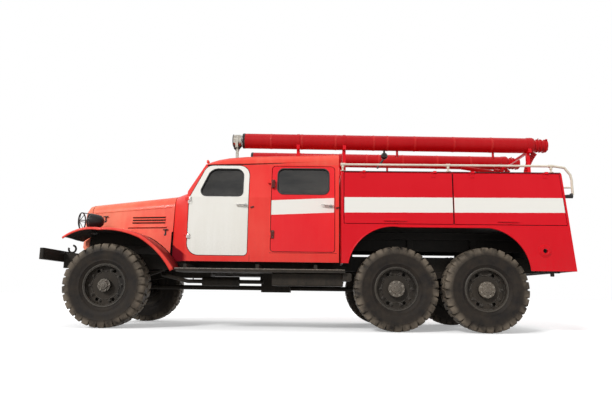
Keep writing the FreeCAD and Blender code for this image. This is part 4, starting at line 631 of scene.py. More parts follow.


# near black for gaps and slots, and for painted shade: the shadows under the bonnet's moulding and the drip rail
dark_gap_and_shade = painted(
    "dark_gap_and_shade", (0.012, 0.011, 0.011, 1), (0.03, 0.025, 0.02, 1), fading=0.5, dust=0.3, gloss=0.6, coat=0,
)
latch_black = painted(
    "latch_black", (0.015, 0.015, 0.016, 1), (0.05, 0.045, 0.04, 1), fading=0.6, dust=0.1, gloss=0.35, coat=0.1,
    worn=(0.25, 0.24, 0.23, 1),
)
# a louvre's lip and slot are (depth, height); the lip's top leans in
LOUVRES = {"front": -0.150, "rear": -0.630, "low": 1.388, "pitch": 0.037, "count": 3, "lip": (0.026, 0.018),
           "slot": (0.014, 0.015), "lean": 0.007}
MOULDING_Z, MOULDING_R, CREASE_R = 1.318, 0.012, 0.0075
SHADOW_R, SHADOW_DROP = 0.006, 0.015
LATCHES = [(0.236, 1.450), (-0.640, 1.262)]
for side, sign in (("left", 1), ("right", -1)):
    press, slots, iron = bmesh.new(), bmesh.new(), bmesh.new()
    length = LOUVRES["front"] - LOUVRES["rear"]
    for k in range(LOUVRES["count"]):
        z = LOUVRES["low"] + k * LOUVRES["pitch"]
        middle = bonnet_side((LOUVRES["front"] + LOUVRES["rear"]) / 2, z)
        lean = math.atan2(bonnet_side(LOUVRES["rear"], z).y - bonnet_side(LOUVRES["front"], z).y, length)
        turn = Matrix.Rotation(-lean, 3, "Z")
        for v in slab(press, (length, *LOUVRES["lip"]), middle, turn, 0.006):
            if v.co.z > z:
                v.co.y -= LOUVRES["lean"]
        # a dark slab under each lip stands for the open slot and paints the shade behind it
        slab(slots, (length - 0.010, *LOUVRES["slot"]), middle + Vector((0, 0.002, -0.015)), turn, 0.002)
    rail = [bonnet_side(x / 20, MOULDING_Z + 0.0004 * (0.40 - x / 20), 0.002) for x in range(-2, -14, -1)]
    add_bead(press, rail, MOULDING_R)
    # a dark bead under the moulding paints its shadow
    add_bead(slots, [point - Vector((0, 0, SHADOW_DROP)) for point in rail], SHADOW_R)
    crease = [at(x / 20, along_bonnet(HALF_WIDTH, x / 20) - 0.001, along_bonnet(CREASE, x / 20))
              for x in range(8, -15, -1)]
    add_bead(press, crease, CREASE_R)
    # tee latches: hook, cross handle and keeper
    for x, z in LATCHES:
        foot = bonnet_side(x, z, 0.002)
        slab(iron, (0.016, 0.014, 0.070), foot + Vector((0, 0.006, -0.02)), None, 0.004)
        stick(iron, foot + Vector((-0.034, 0.018, 0.018)), foot + Vector((0.034, 0.018, 0.012)), 0.0075)
        slab(iron, (0.040, 0.008, 0.030), foot + Vector((0, 0.002, -0.052)), None, 0.003)
    if sign < 0:
        for mesh in (press, slots, iron):
            to_right(mesh)
    piece(f"bonnet_pressings_{side}", press, bonnet_red, f"hood_{side}")
    piece(f"louvre_slots_and_shade_{side}", slots, dark_gap_and_shade, f"hood_{side}")
    piece(f"bonnet_latches_{side}", iron, latch_black, f"hood_{side}")
finish(bonnet_red, "hood_left", "hood_right", "radiator_shell")
finish(cab_red, "cab_roof")
finish(rubbed_black, "radiator_grille")

# what shows when the bonnet is up: head with its nuts and plugs, manifold and its ports, side cover, water hose,
# leads and the air cleaner
BLOCK = {"front": 0.330, "rear": -0.620, "half": 0.240, "top": 1.420}
HEAD_NUTS, NUT_ROWS, PLUGS = 8, (-0.190, -0.070, 0.070, 0.190), 6
gear, pipes = bmesh.new(), bmesh.new()
length, middle_x = BLOCK["front"] - BLOCK["rear"], (BLOCK["front"] + BLOCK["rear"]) / 2
head_top = BLOCK["top"] + 0.036
slab(gear, (length - 0.040, 2 * BLOCK["half"] - 0.030, 0.050), at(middle_x, 0, BLOCK["top"] + 0.015), None, 0.010, 3)
for k in range(HEAD_NUTS):
    x = BLOCK["rear"] + 0.045 + k * (length - 0.090) / (HEAD_NUTS - 1)
    for y in NUT_ROWS:
        stick(gear, at(x, y, head_top), at(x, y, head_top + 0.018), 0.011, 6)
for k in range(PLUGS):
    x = BLOCK["rear"] + 0.080 + k * (length - 0.160) / (PLUGS - 1)
    stick(pipes, at(x, 0, head_top), at(x, 0, head_top + 0.046), 0.013, 12, 0.009)
    stick(gear, at(x, BLOCK["half"] - 0.010, 1.330), at(x, BLOCK["half"] + 0.060, 1.318), 0.022, 16)
slab(gear, (length - 0.100, 0.012, 0.130), at(middle_x, -BLOCK["half"] - 0.003, 1.270), None, 0.005)
manifold = [(BLOCK["rear"] + 0.030, 0.058, 1.230), (BLOCK["rear"] + 0.080, 0.062, 1.310), (middle_x, 0.064, 1.325),
            (BLOCK["front"] - 0.070, 0.062, 1.315)]
add_bead(gear, [at(x, BLOCK["half"] + out, z) for x, out, z in manifold], 0.030)
add_bead(pipes, [at(0.220, 0.100, 1.450), at(0.280, 0.100, 1.492), at(0.356, 0.100, 1.486)], 0.028)
add_bead(pipes, [at(-0.540, 0, 1.500), at(-0.360, 0.014, 1.512), at(-0.050, 0.014, 1.510), at(0.200, 0, 1.502)], 0.006)
CLEANER = [(0.0, 0.110), (0.060, 0.108), (0.085, 0.098), (0.090, 0.080), (0.090, 0.0), (0.060, -0.014), (0.0, -0.014)]
upright = Matrix.Rotation(math.pi / 2, 4, "X") @ Matrix.Scale(0.9, 4)
add_spun(pipes, CLEANER, 40, Matrix.Translation(at(-0.150, 0.110, 1.474)) @ upright)
piece("engine_castings", gear, cast_grey, "chassis")
piece("engine_pipes", pipes, rubbed_black, "chassis")

# ------------------------------------------------------------------ front fenders
# Open fenders drawn from one sheet each: a domed top, a rolled edge that stiffens it, and a flat apron down to the
# frame.  Red outside; the underside is coated black and splashed with road dirt.


def arc_through(a, b, c, steps):
    """Points of the circle's arc from a through b to c, each an (x, z) pair."""
    (ax, az), (bx, bz), (cx, cz) = a, b, c
    d = 2 * (ax * (bz - cz) + bx * (cz - az) + cx * (az - bz))
    ux = ((ax**2 + az**2) * (bz - cz) + (bx**2 + bz**2) * (cz - az) + (cx**2 + cz**2) * (az - bz)) / d
    uz = ((ax**2 + az**2) * (cx - bx) + (bx**2 + bz**2) * (ax - cx) + (cx**2 + cz**2) * (bx - ax)) / d
    radius = math.hypot(ax - ux, az - uz)
    start, middle, end = (math.atan2(z - uz, x - ux) for x, z in (a, b, c))
    full = (end - start) % (2 * math.pi)
    if (middle - start) % (2 * math.pi) > full:
        full -= 2 * math.pi
    turns = (start + full * k / steps for k in range(steps + 1))
    return [(ux + radius * math.cos(t), uz + radius * math.sin(t)) for t in turns]


# the crown from nose to tail, (x, z): three arcs, each through three points
FENDER_LINE = [
    (0.539, 1.118), (0.330, 1.225), (0.085, 1.239), (-0.194, 1.227), (-0.451, 1.152), (-0.696, 0.975), (-0.892, 0.733),
]
crown = []
for k in (0, 2, 4):
    crown += arc_through(*FENDER_LINE[k:k + 3], 18)[1 if crown else 0:]
FENDER_OUT, LIP = 1.100, 0.030
# across the fender: (y from the outer edge inwards, how far below the crown line)
DOME = [
    (0.004, LIP), (0.0, LIP - 0.008), (0.0, 0.014), (0.006, 0.004), (0.020, -0.004), (0.060, -0.010),
    (0.160, -0.014), (0.300, -0.010), (0.420, -0.002), (0.640, 0.0),
]
under_black = painted(
    "under_black", (0.010, 0.009, 0.008, 1), (0.024, 0.018, 0.014, 1), fading=0.8, dust=0.7, dust_top=1.4, gloss=0.6,
    coat=0.0, relief=0.005,
)
# the apron's foot and its metal, the skirt's gap above the fender, and the apron's lap over it
APRON = {"low": 1.066, "metal": 0.018, "gap": 0.012, "lap": 0.050}
fender_red = painted(
    "fender_red", (0.80, 0.030, 0.026, 1), (0.90, 0.150, 0.095, 1), fading=0.9, dust=0.15, dust_top=1.3, gloss=0.26,
    coat=0.08,
)
# painted shade: the fender's rear-facing slope below the door is darkened, in streaks along the fender
tree, shader, unshaded = base_of(fender_red)
spot = axes(tree)
lengthwise = node(tree, "Mapping", {"Vector": here(tree), "Scale": (2.0, 30.0, 2.0)}).outputs[0]
streaks = ramp(tree, noise(tree, lengthwise, 1.5, 4.0, 0.6), 0.25, 0.60, 0.55, 1.0)
slope = ramp(tree, spot["X"], AXLE_X - 0.62, AXLE_X - 0.22, 1.0, 0.0)
inboard = ramp(tree, calc(tree, "ABSOLUTE", spot["Y"]), 1.080, 1.094, 1.0, 0.0)
slope_shade = calc(tree, "MULTIPLY", calc(tree, "MULTIPLY", slope, inboard), streaks)
feed(tree, shader, {"Base Color": blend_colours(tree, slope_shade, unshaded, (0.105, 0.010, 0.010, 1))})
for side, sign in (("left", 1), ("right", -1)):
    sheet = bmesh.new()
    bmesh.ops.create_grid(sheet, x_segments=len(crown) - 1, y_segments=len(DOME) - 1, size=0.5)
    for v in sheet.verts:
        k, j = round((v.co.x + 0.5) * (len(crown) - 1)), round((v.co.y + 0.5) * (len(DOME) - 1))
        x, z = crown[k]
        (x0, z0), (x1, z1) = crown[max(k - 1, 0)], crown[min(k + 1, len(crown) - 1)]
        run = math.hypot(x1 - x0, z1 - z0)
        inwards, drop = DOME[j]
        # the rolled edge gets deeper towards the fender's tail
        tail = 1 + 0.6 * max(0.0, (k - 24) / 30)
        drop *= tail if drop > 0 else 1
        inner = FENDER_OUT - inwards
        hood = along_bonnet(HALF_WIDTH, max(min(x, BONNET["front"]), BONNET["rear"])) + BONNET["flare"] - 0.006
        if j == len(DOME) - 1:
            inner = hood
        else:
            inner = max(inner, hood + 0.01 * (len(DOME) - 1 - j))
        v.co = at(x - (z1 - z0) / run * drop, sign * inner, z + (x1 - x0) / run * drop)
    bmesh.ops.recalc_face_normals(sheet, faces=sheet.faces)
    top = max(sheet.faces, key=lambda f: f.calc_center_median().z)
    if top.normal.z < 0:
        bmesh.ops.reverse_faces(sheet, faces=sheet.faces)
    made = piece(f"front_fender_{side}", sheet, fender_red, "chassis", ["front_fenders"], smooth=50)
    made.data.materials.append(under_black)
    metal = made.modifiers.new("sheet", "SOLIDIFY")
    metal.thickness, metal.offset, metal.material_offset, metal.material_offset_rim = 0.004, -1, 1, 0
    # the black apron stands in the wheel's space; the bonnet's red skirt hangs outside it, just off the fender
    apron, skirt, apron_sections, skirt_sections = bmesh.new(), bmesh.new(), [], []
    for x, z in crown:
        if not -0.738 < x < 0.436:
            continue
        y = along_bonnet(HALF_WIDTH, x) + BONNET["flare"] - 0.004
        top, low = max(z + APRON["lap"], 1.236), min(APRON["low"], z - 0.03)
        apron_sections.append([apron.verts.new(at(x, sign * (y - d), h)) for d, h in (
            (0, top), (0, low), (APRON["metal"], low), (APRON["metal"], top))])
        foot = z + APRON["gap"]
        if foot < MOULDING_Z - 0.01:
            corners = [bonnet_side(x, h, out) for h, out in (
                (MOULDING_Z, 0.0015), (foot, 0.0015), (foot, -0.003), (MOULDING_Z, -0.003))]
            skirt_sections.append([skirt.verts.new((p.x, sign * p.y, p.z)) for p in corners])
    for mesh, sections in ((apron, apron_sections), (skirt, skirt_sections)):
        for fore, aft in zip(sections, sections[1:]):
            for k in range(4):
                mesh.faces.new((fore[k], fore[(k + 1) % 4], aft[(k + 1) % 4], aft[k]))
        for end in (sections[0], sections[-1]):
            mesh.faces.new(end)
        bmesh.ops.recalc_face_normals(mesh, faces=mesh.faces)
    piece(f"fender_apron_{side}", apron, under_black, "chassis")
    piece(f"bonnet_skirt_{side}", skirt, bonnet_red, f"hood_{side}")

# ------------------------------------------------------------------ headlamps
# Spun steel bowls in black with a plated rim and a moulded glass, on stalks behind crossed wire guards.
LAMP = {"y": 0.750, "z": 1.365, "face": 0.352, "radius": 0.098, "foot": 1.190}
# guard wires stand this far off the rim, on an oval a little taller than it is wide
GUARD = {"gap": 0.008, "ahead": 0.100, "tall": 1.06, "bulge": 0.034}
BOWL = [
    (0.0, -0.190), (0.026, -0.188), (0.052, -0.178), (0.074, -0.155), (0.090, -0.118), (0.098, -0.070),
    (0.101, -0.034), (0.106, -0.030), (0.108, -0.016), (0.104, -0.003), (0.096, 0.0), (0.090, -0.008),
    (0.070, -0.060), (0.030, -0.095), (0.0, -0.100),
]
GLASS = [
    (0.0, 0.012), (0.03, 0.011), (0.06, 0.007), (0.085, 0.0), (0.0945, -0.006), (0.0935, -0.010), (0.06, 0.002),
    (0.03, 0.006), (0.0, 0.007),
]
lamp_black = painted(
    "lamp_black", (0.012, 0.012, 0.012, 1), (0.035, 0.030, 0.026, 1), fading=0.4, dust=0.15, gloss=0.30, coat=0.0,
    sheen=0.15, worn=(0.3, 0.3, 0.29, 1),
)
lamp_glass, tree, shader = new_finish("lamp_glass")
ribs = node(tree, "TexWave", {"Vector": here(tree), "Scale": 22.0, "Distortion": 0.6}, bands_direction="Y")
film = ramp(tree, noise(tree, here(tree), 9.0), 0.4, 0.8)
feed(tree, shader, {
    "Base Color": blend_colours(tree, film, (0.90, 0.92, 0.90, 1), (0.74, 0.72, 0.64, 1)),
    "Roughness": ramp(tree, noise(tree, here(tree), 12.0), 0.3, 0.8, 0.06, 0.22),
})
shader.inputs["Transmission Weight"].default_value = 0.65
shader.inputs["IOR"].default_value = 1.5
bump(tree, shader, ribs.outputs["Fac"], 0.6, 0.003)
for side, sign in (("left", 1), ("right", -1)):
    middle = at(LAMP["face"], sign * LAMP["y"], LAMP["z"])
    stalk = at(LAMP["face"] - 0.09, sign * LAMP["y"], LAMP["foot"])
    mesh = bmesh.new()
    add_spun(mesh, BOWL, 40, Matrix.Translation(middle), (1, 0, 0))
    stick(mesh, middle + Vector((-0.09, 0, -0.08)), stalk, 0.020, 16)
    slab(mesh, (0.10, 0.08, 0.012), stalk + Vector((0, 0, 0.016)), None, 0.004)
    wide = LAMP["radius"] + GUARD["gap"]
    tall = wide * GUARD["tall"]
    front = middle + Vector((GUARD["ahead"], 0, 0))
    angles = [2 * math.pi * k / 40 for k in range(40)]
    add_bead(mesh, [front + Vector((0, wide * math.cos(t), tall * math.sin(t))) for t in angles], 0.0085, closed=True)
    for t in (0, math.pi / 3, 2 * math.pi / 3):
        arm = Vector((0, wide * math.cos(t), tall * math.sin(t)))
        add_bead(mesh, [front - arm, front + Vector((GUARD["bulge"], 0, 0)), front + arm], 0.0045)
    for y, z in ((wide, 0.0), (-wide, 0.0), (0.0, tall), (0.0, -tall)):
        add_bead(mesh, [front + Vector((0, y, z)), front + Vector((-0.120, y * 0.92, z * 0.87))], 0.006)
    piece(f"headlamp_{side}", mesh, lamp_black, "chassis", ["headlamps"], smooth=40)
    mesh = bmesh.new()
    add_spun(mesh, GLASS, 40, Matrix.Translation(middle), (1, 0, 0))
    piece(f"headlamp_glass_{side}", mesh, lamp_glass, "chassis", ["headlamp_lenses"], smooth=60)

# ------------------------------------------------------------------ cab
# Welded steel cab lengthened by a crew bay with its own doors.  Orange-red outside, dark inside; white front doors;
# panes in black rubber; a drip rail over the doors; butt hinges, pull handles and a lamp at the roof's corner.
CAB = {"half": 0.870, "eaves_half": 0.803, "belt": 1.690, "eaves": 2.145, "front": -0.965, "rear": -2.955,
       "cowl": 1.762, "head": -1.180}


def cab_wall(z, proud=0.0):
    """Distance of the cab's side from the middle plane at a height."""
    lean = max(0.0, z - CAB["belt"]) / (CAB["eaves"] - CAB["belt"])
    return CAB["half"] - lean * (CAB["half"] - CAB["eaves_half"]) + proud


# 1 on the cab's outer skin, 0 on what lies further in than the sheet is thick
OUTSIDE, given, end = shader_group("outside_of_cab", {"Skin": 0.012}, {"Mask": "NodeSocketFloat"})
parts = axes(OUTSIDE)
lean = ramp(OUTSIDE, parts["Z"], CAB["belt"], CAB["eaves"], CAB["half"], CAB["eaves_half"])
sideways = calc(OUTSIDE, "SUBTRACT", calc(OUTSIDE, "ABSOLUTE", parts["Y"]), lean)
slope = (CAB["head"] - CAB["front"]) / (CAB["eaves"] - CAB["cowl"])
climb = calc(OUTSIDE, "MAXIMUM", calc(OUTSIDE, "SUBTRACT", parts["Z"], CAB["cowl"]), 0.0)
screen = calc(OUTSIDE, "MULTIPLY_ADD", climb, slope, AXLE_X + CAB["front"])
forwards = calc(OUTSIDE, "SUBTRACT", parts["X"], screen)
backwards = calc(OUTSIDE, "SUBTRACT", AXLE_X + CAB["rear"], parts["X"])
nearest = calc(OUTSIDE, "MAXIMUM", calc(OUTSIDE, "MAXIMUM", sideways, forwards), backwards)
out = calc(OUTSIDE, "GREATER_THAN", nearest, calc(OUTSIDE, "MULTIPLY", given["Skin"], -1.0))
feed(OUTSIDE, end, {"Mask": out})

WHITE, WHITE_AGED = (0.86, 0.84, 0.78, 1), (0.74, 0.70, 0.60, 1)
# painted shade: the turned-in foot of the cowl is darkened below a line through this point, which rises by so
# much for each metre forwards; it fades in from the rear limit to the front one
COWL_SHADE = {"x": -0.980, "z": 0.930, "rise": 0.62, "front": -0.930, "rear": -1.000}


def stripe_mask(tree, fore, aft, front, rear):
    """1 inside a band whose edges run straight from fore to aft, each (x, low, high); ends at front and rear."""
    parts = axes(tree)
    wobble = calc(tree, "MULTIPLY_ADD", noise(tree, here(tree), 14.0), 0.004, -0.002)
    z = calc(tree, "ADD", parts["Z"], wobble)
    low, high = (node(tree, "MapRange", {
        0: parts["X"], 1: AXLE_X + aft[0], 2: AXLE_X + fore[0], 3: aft[edge], 4: fore[edge],
    }, clamp=False).outputs[0] for edge in (1, 2))
    between = calc(tree, "MULTIPLY", calc(tree, "GREATER_THAN", z, low), calc(tree, "LESS_THAN", z, high))
    ahead_of = calc(tree, "GREATER_THAN", parts["X"], AXLE_X + rear)
    behind = calc(tree, "LESS_THAN", parts["X"], AXLE_X + front)
    return calc(tree, "MULTIPLY", between, calc(tree, "MULTIPLY", ahead_of, behind))


def coach_paint(name, colour, faded, stripe=None, **look):
    """Cab paint outside, with painted shade at the cowl's foot, and near black inside; stripe is ((x, low, high) at
    two places, front limit, rear limit).
    """
    made = painted(name, colour, faded, **look)
    tree, shader, surface = base_of(made)
    if stripe:
        surface = blend_colours(tree, stripe_mask(tree, *stripe), surface, WHITE)
    spot = axes(tree)
    # painted shade where the cowl's foot turns in, below a sloping line
    edge = calc(tree, "SUBTRACT", spot["X"], AXLE_X + COWL_SHADE["x"])
    edge = calc(tree, "MULTIPLY_ADD", edge, COWL_SHADE["rise"], COWL_SHADE["z"])
    below_line = calc(tree, "MULTIPLY_ADD", noise(tree, here(tree), 9.0), 0.03, calc(tree, "SUBTRACT", edge, spot["Z"]))
    near = ramp(tree, spot["X"], AXLE_X + COWL_SHADE["rear"], AXLE_X + COWL_SHADE["front"])
    cowl_shade = calc(tree, "MULTIPLY", ramp(tree, below_line, 0.010, 0.024), near)
    surface = blend_colours(tree, cowl_shade, surface, (0.165, 0.006, 0.012, 1))
    mask = group_node(tree, OUTSIDE)["Mask"]
    feed(tree, shader, {"Base Color": blend_colours(tree, mask, (0.035, 0.034, 0.033, 1), surface)})
    return made


cab_paint = coach_paint(
    "cab_paint", (0.80, 0.030, 0.026, 1), (0.88, 0.085, 0.060, 1), fading=0.75, dust=0.25, dust_top=1.5, gloss=0.26,
    coat=0.08,
)
crew_paint = coach_paint(
    "crew_door_paint", (0.78, 0.012, 0.020, 1), (0.85, 0.045, 0.045, 1), fading=0.6, dust=0.2, dust_top=1.4,
    gloss=0.26, coat=0.08, stripe=((-2.065, 1.461, 1.652), (-2.900, 1.498, 1.691), -2.0, -2.890),
)
door_white = coach_paint(
    "door_white", WHITE, WHITE_AGED, fading=0.45, dust=0.25, dust_top=1.5, gloss=0.22, coat=0.08,
)
finish(cab_paint, "cab_shell")
finish(crew_paint, "crew_door_left", "crew_door_right")
finish(door_white, "front_door_left", "front_door_right")

tinted_glass, tree, shader = new_finish("tinted_glass")
upright = node(tree, "Mapping", {"Vector": here(tree), "Scale": (1.0, 1.0, 2.6)}).outputs[0]
smears = noise(tree, upright, 2.4, 4.0, 0.6)
dusty = ramp(tree, smears, 0.35, 0.7)
feed(tree, shader, {
    "Base Color": blend_colours(tree, dusty, (0.016, 0.015, 0.014, 1), (0.120, 0.112, 0.098, 1)),
    "Roughness": ramp(tree, smears, 0.3, 0.8, 0.03, 0.16),
})
shader.inputs["Transmission Weight"].default_value = 0.75
shader.inputs["IOR"].default_value = 1.45
panes = [f"{kind}_door_glass_{side}" for kind in ("front", "crew") for side in ("left", "right")]
finish(tinted_glass, "windscreen_glass", *panes)

window_rubber, tree, shader = new_finish("window_rubber")
grain = group_node(tree, GRAIN, {"Scale": 200.0})
feed(tree, shader, {
    "Base Color": blend_colours(tree, grain["Pits"], (0.018, 0.018, 0.018, 1), (0.05, 0.047, 0.042, 1)),
    "Roughness": ramp(tree, grain["Height"], 0.4, 1.0, 0.55, 0.75),
})
bump(tree, shader, grain["Height"], 0.4, 0.0008)


def rounded(corners, steps=8):
    """Closed (a, b) outline of straight sides and round corners, each corner (a, b, radius)."""
    points = []
    for k, (a, b, radius) in enumerate(corners):
        corner = Vector((a, b))
        before, after = Vector(corners[k - 1][:2]), Vector(corners[(k + 1) % len(corners)][:2])
        u, w = (before - corner).normalized(), (after - corner).normalized()
        half = u.angle(w) / 2
        centre = corner + (u + w).normalized() * radius / math.sin(half)
        first = corner + u * radius / math.tan(half) - centre
        last = corner + w * radius / math.tan(half) - centre
        arc = first.angle_signed(last)
        for j in range(steps + 1):
            points.append(centre + Matrix.Rotation(-arc * j / steps, 2) @ first)
    return points


WINDOWS = {
    "front": [(-1.105, 1.706, 0.070), (-1.262, 2.080, 0.130), (-1.690, 2.080, 0.100), (-1.690, 1.706, 0.060)],
    "crew": [(-2.147, 1.738, 0.080), (-2.147, 2.092, 0.080), (-2.823, 2.092, 0.080), (-2.823, 1.738, 0.080)],
}
for kind, corners in WINDOWS.items():
    outline = rounded(corners)
    for side, sign in (("left", 1), ("right", -1)):
        ring = [at(x, sign * cab_wall(z, 0.001), z) for x, z in outline]
        rubber = swept(ring, 0.008, closed=True)
        piece(f"{kind}_window_rubber_{side}", rubber, window_rubber, f"{kind}_door_{side}")

# panel seams, drip rail and fittings of the cab
SEAMS = {"sill": [(-2.056, 0.966), (-2.930, 0.966)], "foot": [(-1.800, 0.862), (-1.800, 0.930)]}
hinge_iron = painted(
    "hinge_iron", (0.14, 0.010, 0.010, 1), (0.07, 0.03, 0.024, 1), fading=0.6, dust=0.5, dust_top=3.0, gloss=0.45,
    coat=0, worn=(0.20, 0.18, 0.16, 1),
)
seams = bmesh.new()
for (x0, z0), (x1, z1) in SEAMS.values():
    run = [(x0 + (x1 - x0) * k / 10, z0 + (z1 - z0) * k / 10) for k in range(11)]
    add_bead(seams, [at(x, cab_wall(z, -0.0005), z) for x, z in run], 0.0022)
on_both_sides(seams)
piece("cab_seams", seams, dark_gap_and_shade, "chassis")

# the rail follows the roof's edge, which leans in above the eaves; its lower lip is in shadow
DRIP = [(-1.200, 2.139), (-1.270, 2.146), (-1.590, 2.156), (-2.000, 2.171), (-2.500, 2.190), (-2.940, 2.207)]
LEAN_IN, RAIL_OUT = 0.35, 0.006
drip = bmesh.new()
under = bmesh.new()
for mesh, radius, drop in ((drip, 0.0085, 0.0), (under, 0.0050, -0.013)):
    add_bead(mesh, [at(x, CAB["eaves_half"] - LEAN_IN * max(0.0, z - CAB["eaves"]) + RAIL_OUT, z + drop)
                    for x, z in DRIP], radius)
    on_both_sides(mesh)
piece("drip_rail", drip, cab_red, "chassis")
piece("drip_rail_shadow", under, dark_gap_and_shade, "chassis")

# strikers on the posts behind the doors, and the marker lamps on the roof's front corners
for kind, x, z in (("front", -1.822, 1.560), ("crew", -2.936, 1.560)):
    strike = bmesh.new()
    slab(strike, (0.046, 0.014, 0.020), at(x, cab_wall(z, 0.004), z), Matrix.Rotation(0.35, 3, "Y"), 0.004)
    stick(strike, at(x + 0.014, cab_wall(z), z), at(x + 0.014, cab_wall(z) + 0.020, z), 0.007, 10)
    on_both_sides(strike)
    piece(f"{kind}_door_strikers", strike, hinge_iron, "chassis")

marker = bmesh.new()
for sign in (1, -1):
    foot = at(-1.196, sign * 0.700, 2.165)
    stick(marker, foot, foot + Vector((0.010, 0, 0.030)), 0.016, 16, 0.014)
    stick(marker, foot + Vector((0.010, 0, 0.030)), foot + Vector((0.022, 0, 0.062)), 0.024, 16, 0.012)
piece("marker_lamps", marker, cab_red, "chassis")

# bolted pads over the doors' hinges: dark cast ones for the crew doors, plated ones in front
plated, tree, shader = new_finish("plated_zinc")
scuffs = noise(tree, here(tree), 60.0, 5.0, 0.7)
scuffed = ramp(tree, scuffs, 0.4, 0.7)
feed(tree, shader, {
    "Base Color": blend_colours(tree, scuffed, (0.46, 0.45, 0.43, 1), (0.22, 0.20, 0.18, 1)),
    "Roughness": ramp(tree, scuffs, 0.3, 0.8, 0.18, 0.5),
})
shader.inputs["Metallic"].default_value = 0.9
# (material, x of the hinge's axis, heights, size)
PADS = {"crew": (hinge_iron, -2.068, (1.872, 1.205), (0.046, 0.018, 0.104)),
        "front": (plated, -0.986, (1.656, 1.170), (0.038, 0.014, 0.062))}
for kind, (material, axis_x, heights, (width, depth, height)) in PADS.items():
    for side, sign in (("left", 1), ("right", -1)):
        mesh = bmesh.new()
        for z in heights:
            # above the belt the wall leans in, and the pad stands out to the hinge's line
            stand = CAB["half"] - cab_wall(z)
            x, middle_y = axis_x - width / 2, cab_wall(z, 0.006 + 0.8 * stand)
            slab(mesh, (width, depth + stand, height), at(x, sign * middle_y, z), None, 0.006)
            for rise in (-height / 3, height / 3):
                foot = at(x - 0.006, sign * (middle_y + (depth + stand) / 2 - 0.002), z + rise)
                stick(mesh, foot, foot + Vector((0, sign * 0.007, 0)), 0.006, 8)
        piece(f"{kind}_hinge_pads_{side}", mesh, material, f"{kind}_door_{side}")

# handles: a long lever, bent towards the door at its end, on a round rose; its points are (along, out, up)
HANDLES = {"front": (-1.735, 1.585), "crew": (-2.850, 1.585)}
LEVER = [(-0.012, 0.036, 0.0), (0.03, 0.040, 0.002), (0.075, 0.038, 0.004), (0.128, 0.030, 0.008)]
for kind, (x, z) in HANDLES.items():
    for side, sign in (("left", 1), ("right", -1)):
        grip, wall_y = bmesh.new(), cab_wall(z)
        stick(grip, at(x, wall_y - 0.004, z), at(x, wall_y + 0.008, z), 0.026, 24, 0.023)
        stick(grip, at(x, wall_y, z), at(x, wall_y + 0.036, z), 0.009, 12)
        add_bead(grip, [at(x + along, wall_y + out, z + up) for along, out, up in LEVER], 0.0070)
        if sign < 0:
            to_right(grip)
        piece(f"{kind}_door_handle_{side}", grip, plated, f"{kind}_door_{side}")

# rubber round the two windscreen panes, and a wiper with its arm and blade on each
SCREEN = [(0.045, 1.820, 0.045), (0.715, 1.814, 0.060), (0.672, 2.097, 0.060), (0.045, 2.105, 0.045)]
# (y, z) on the screen's plane: the spindle, then the arm and the blade as (from, to, radius)
SPINDLE = (0.380, 1.796)
WIPER = [(SPINDLE, (0.300, 1.950), 0.005), ((0.190, 1.890), (0.410, 2.010), 0.006)]


def on_screen(y, z, proud=0.002):
    """Point on the raked windscreen, standing proud of it."""
    share = (z - CAB["cowl"]) / (CAB["eaves"] - CAB["cowl"])
    return at(CAB["front"] + (CAB["head"] - CAB["front"]) * share + proud, y, z)


for side, sign in (("left", 1), ("right", -1)):
    ring = [on_screen(sign * y, z) for y, z in rounded(SCREEN)]
    rubber = swept(ring, 0.010, closed=True)
    piece(f"screen_rubber_{side}", rubber, window_rubber, "chassis")
    wiper = bmesh.new()
    y, z = SPINDLE
    stick(wiper, on_screen(sign * y, z, -0.01), on_screen(sign * y, z, 0.030), 0.014, 16)
    for (y0, z0), (y1, z1), radius in WIPER:
        stick(wiper, on_screen(sign * y0, z0, 0.026), on_screen(sign * y1, z1, 0.020), radius, 8)
    piece(f"wiper_{side}", wiper, latch_black, "chassis")

# running boards: a worn steel nosing, and four ribbed rubber treads held by rivets at their corners
nosing, treads = bmesh.new(), bmesh.new()
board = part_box("running_boards")[1]
TREAD = {"x": (-1.160, -1.680, -2.200, -2.720), "y": 0.965, "size": (0.440, 0.190, 0.006), "ribs": 9,
         "first_rib": 0.885, "rib_pitch": 0.020, "rib": (0.420, 0.008, 0.004)}
for x in TREAD["x"]:
    slab(treads, TREAD["size"], at(x, TREAD["y"], board.z + 0.002), None, 0.002)
    for k in range(TREAD["ribs"]):
        slab(treads, TREAD["rib"], at(x, TREAD["first_rib"] + TREAD["rib_pitch"] * k, board.z + 0.006), None, 0.001)
    for dx, dy in ((0.210, 0.085), (0.210, -0.085), (-0.210, 0.085), (-0.210, -0.085)):
        rivet = at(x + dx, TREAD["y"] + dy, board.z + 0.004)
        stick(treads, rivet, rivet + Vector((0, 0, 0.005)), 0.006, 8)
add_bead(nosing, [at(x, board.y - 0.004, board.z + 0.001) for x in (-0.905, -1.400, -2.200, -3.015)], 0.0065)
on_both_sides(nosing)
on_both_sides(treads)
piece("board_nosings", nosing, greasy_steel, "chassis")
piece("board_treads", treads, window_rubber, "chassis")

# ------------------------------------------------------------------ seats and dashboard
# Two benches of black leatherette over springs, with piped edges and pleats, on boxed frames, behind a steel dash.
leather, tree, shader = new_finish("seat_leather")
grain = group_node(tree, GRAIN, {"Scale": 160.0})
worn_patch = noise(tree, here(tree), 5.0, 4.0, 0.6)
rubbed = ramp(tree, worn_patch, 0.4, 0.75)
feed(tree, shader, {
    "Base Color": blend_colours(tree, rubbed, (0.030, 0.024, 0.020, 1), (0.075, 0.055, 0.042, 1)),
    "Roughness": ramp(tree, worn_patch, 0.3, 0.8, 0.38, 0.62),
})
bump(tree, shader, grain["Height"], 0.6, 0.0012)
seat_low, seat_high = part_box("cab_seats")
CUSHION_H, SEAT_RISE, BENCH_HALF, PLEATS = 0.150, 0.430, 0.690, 14


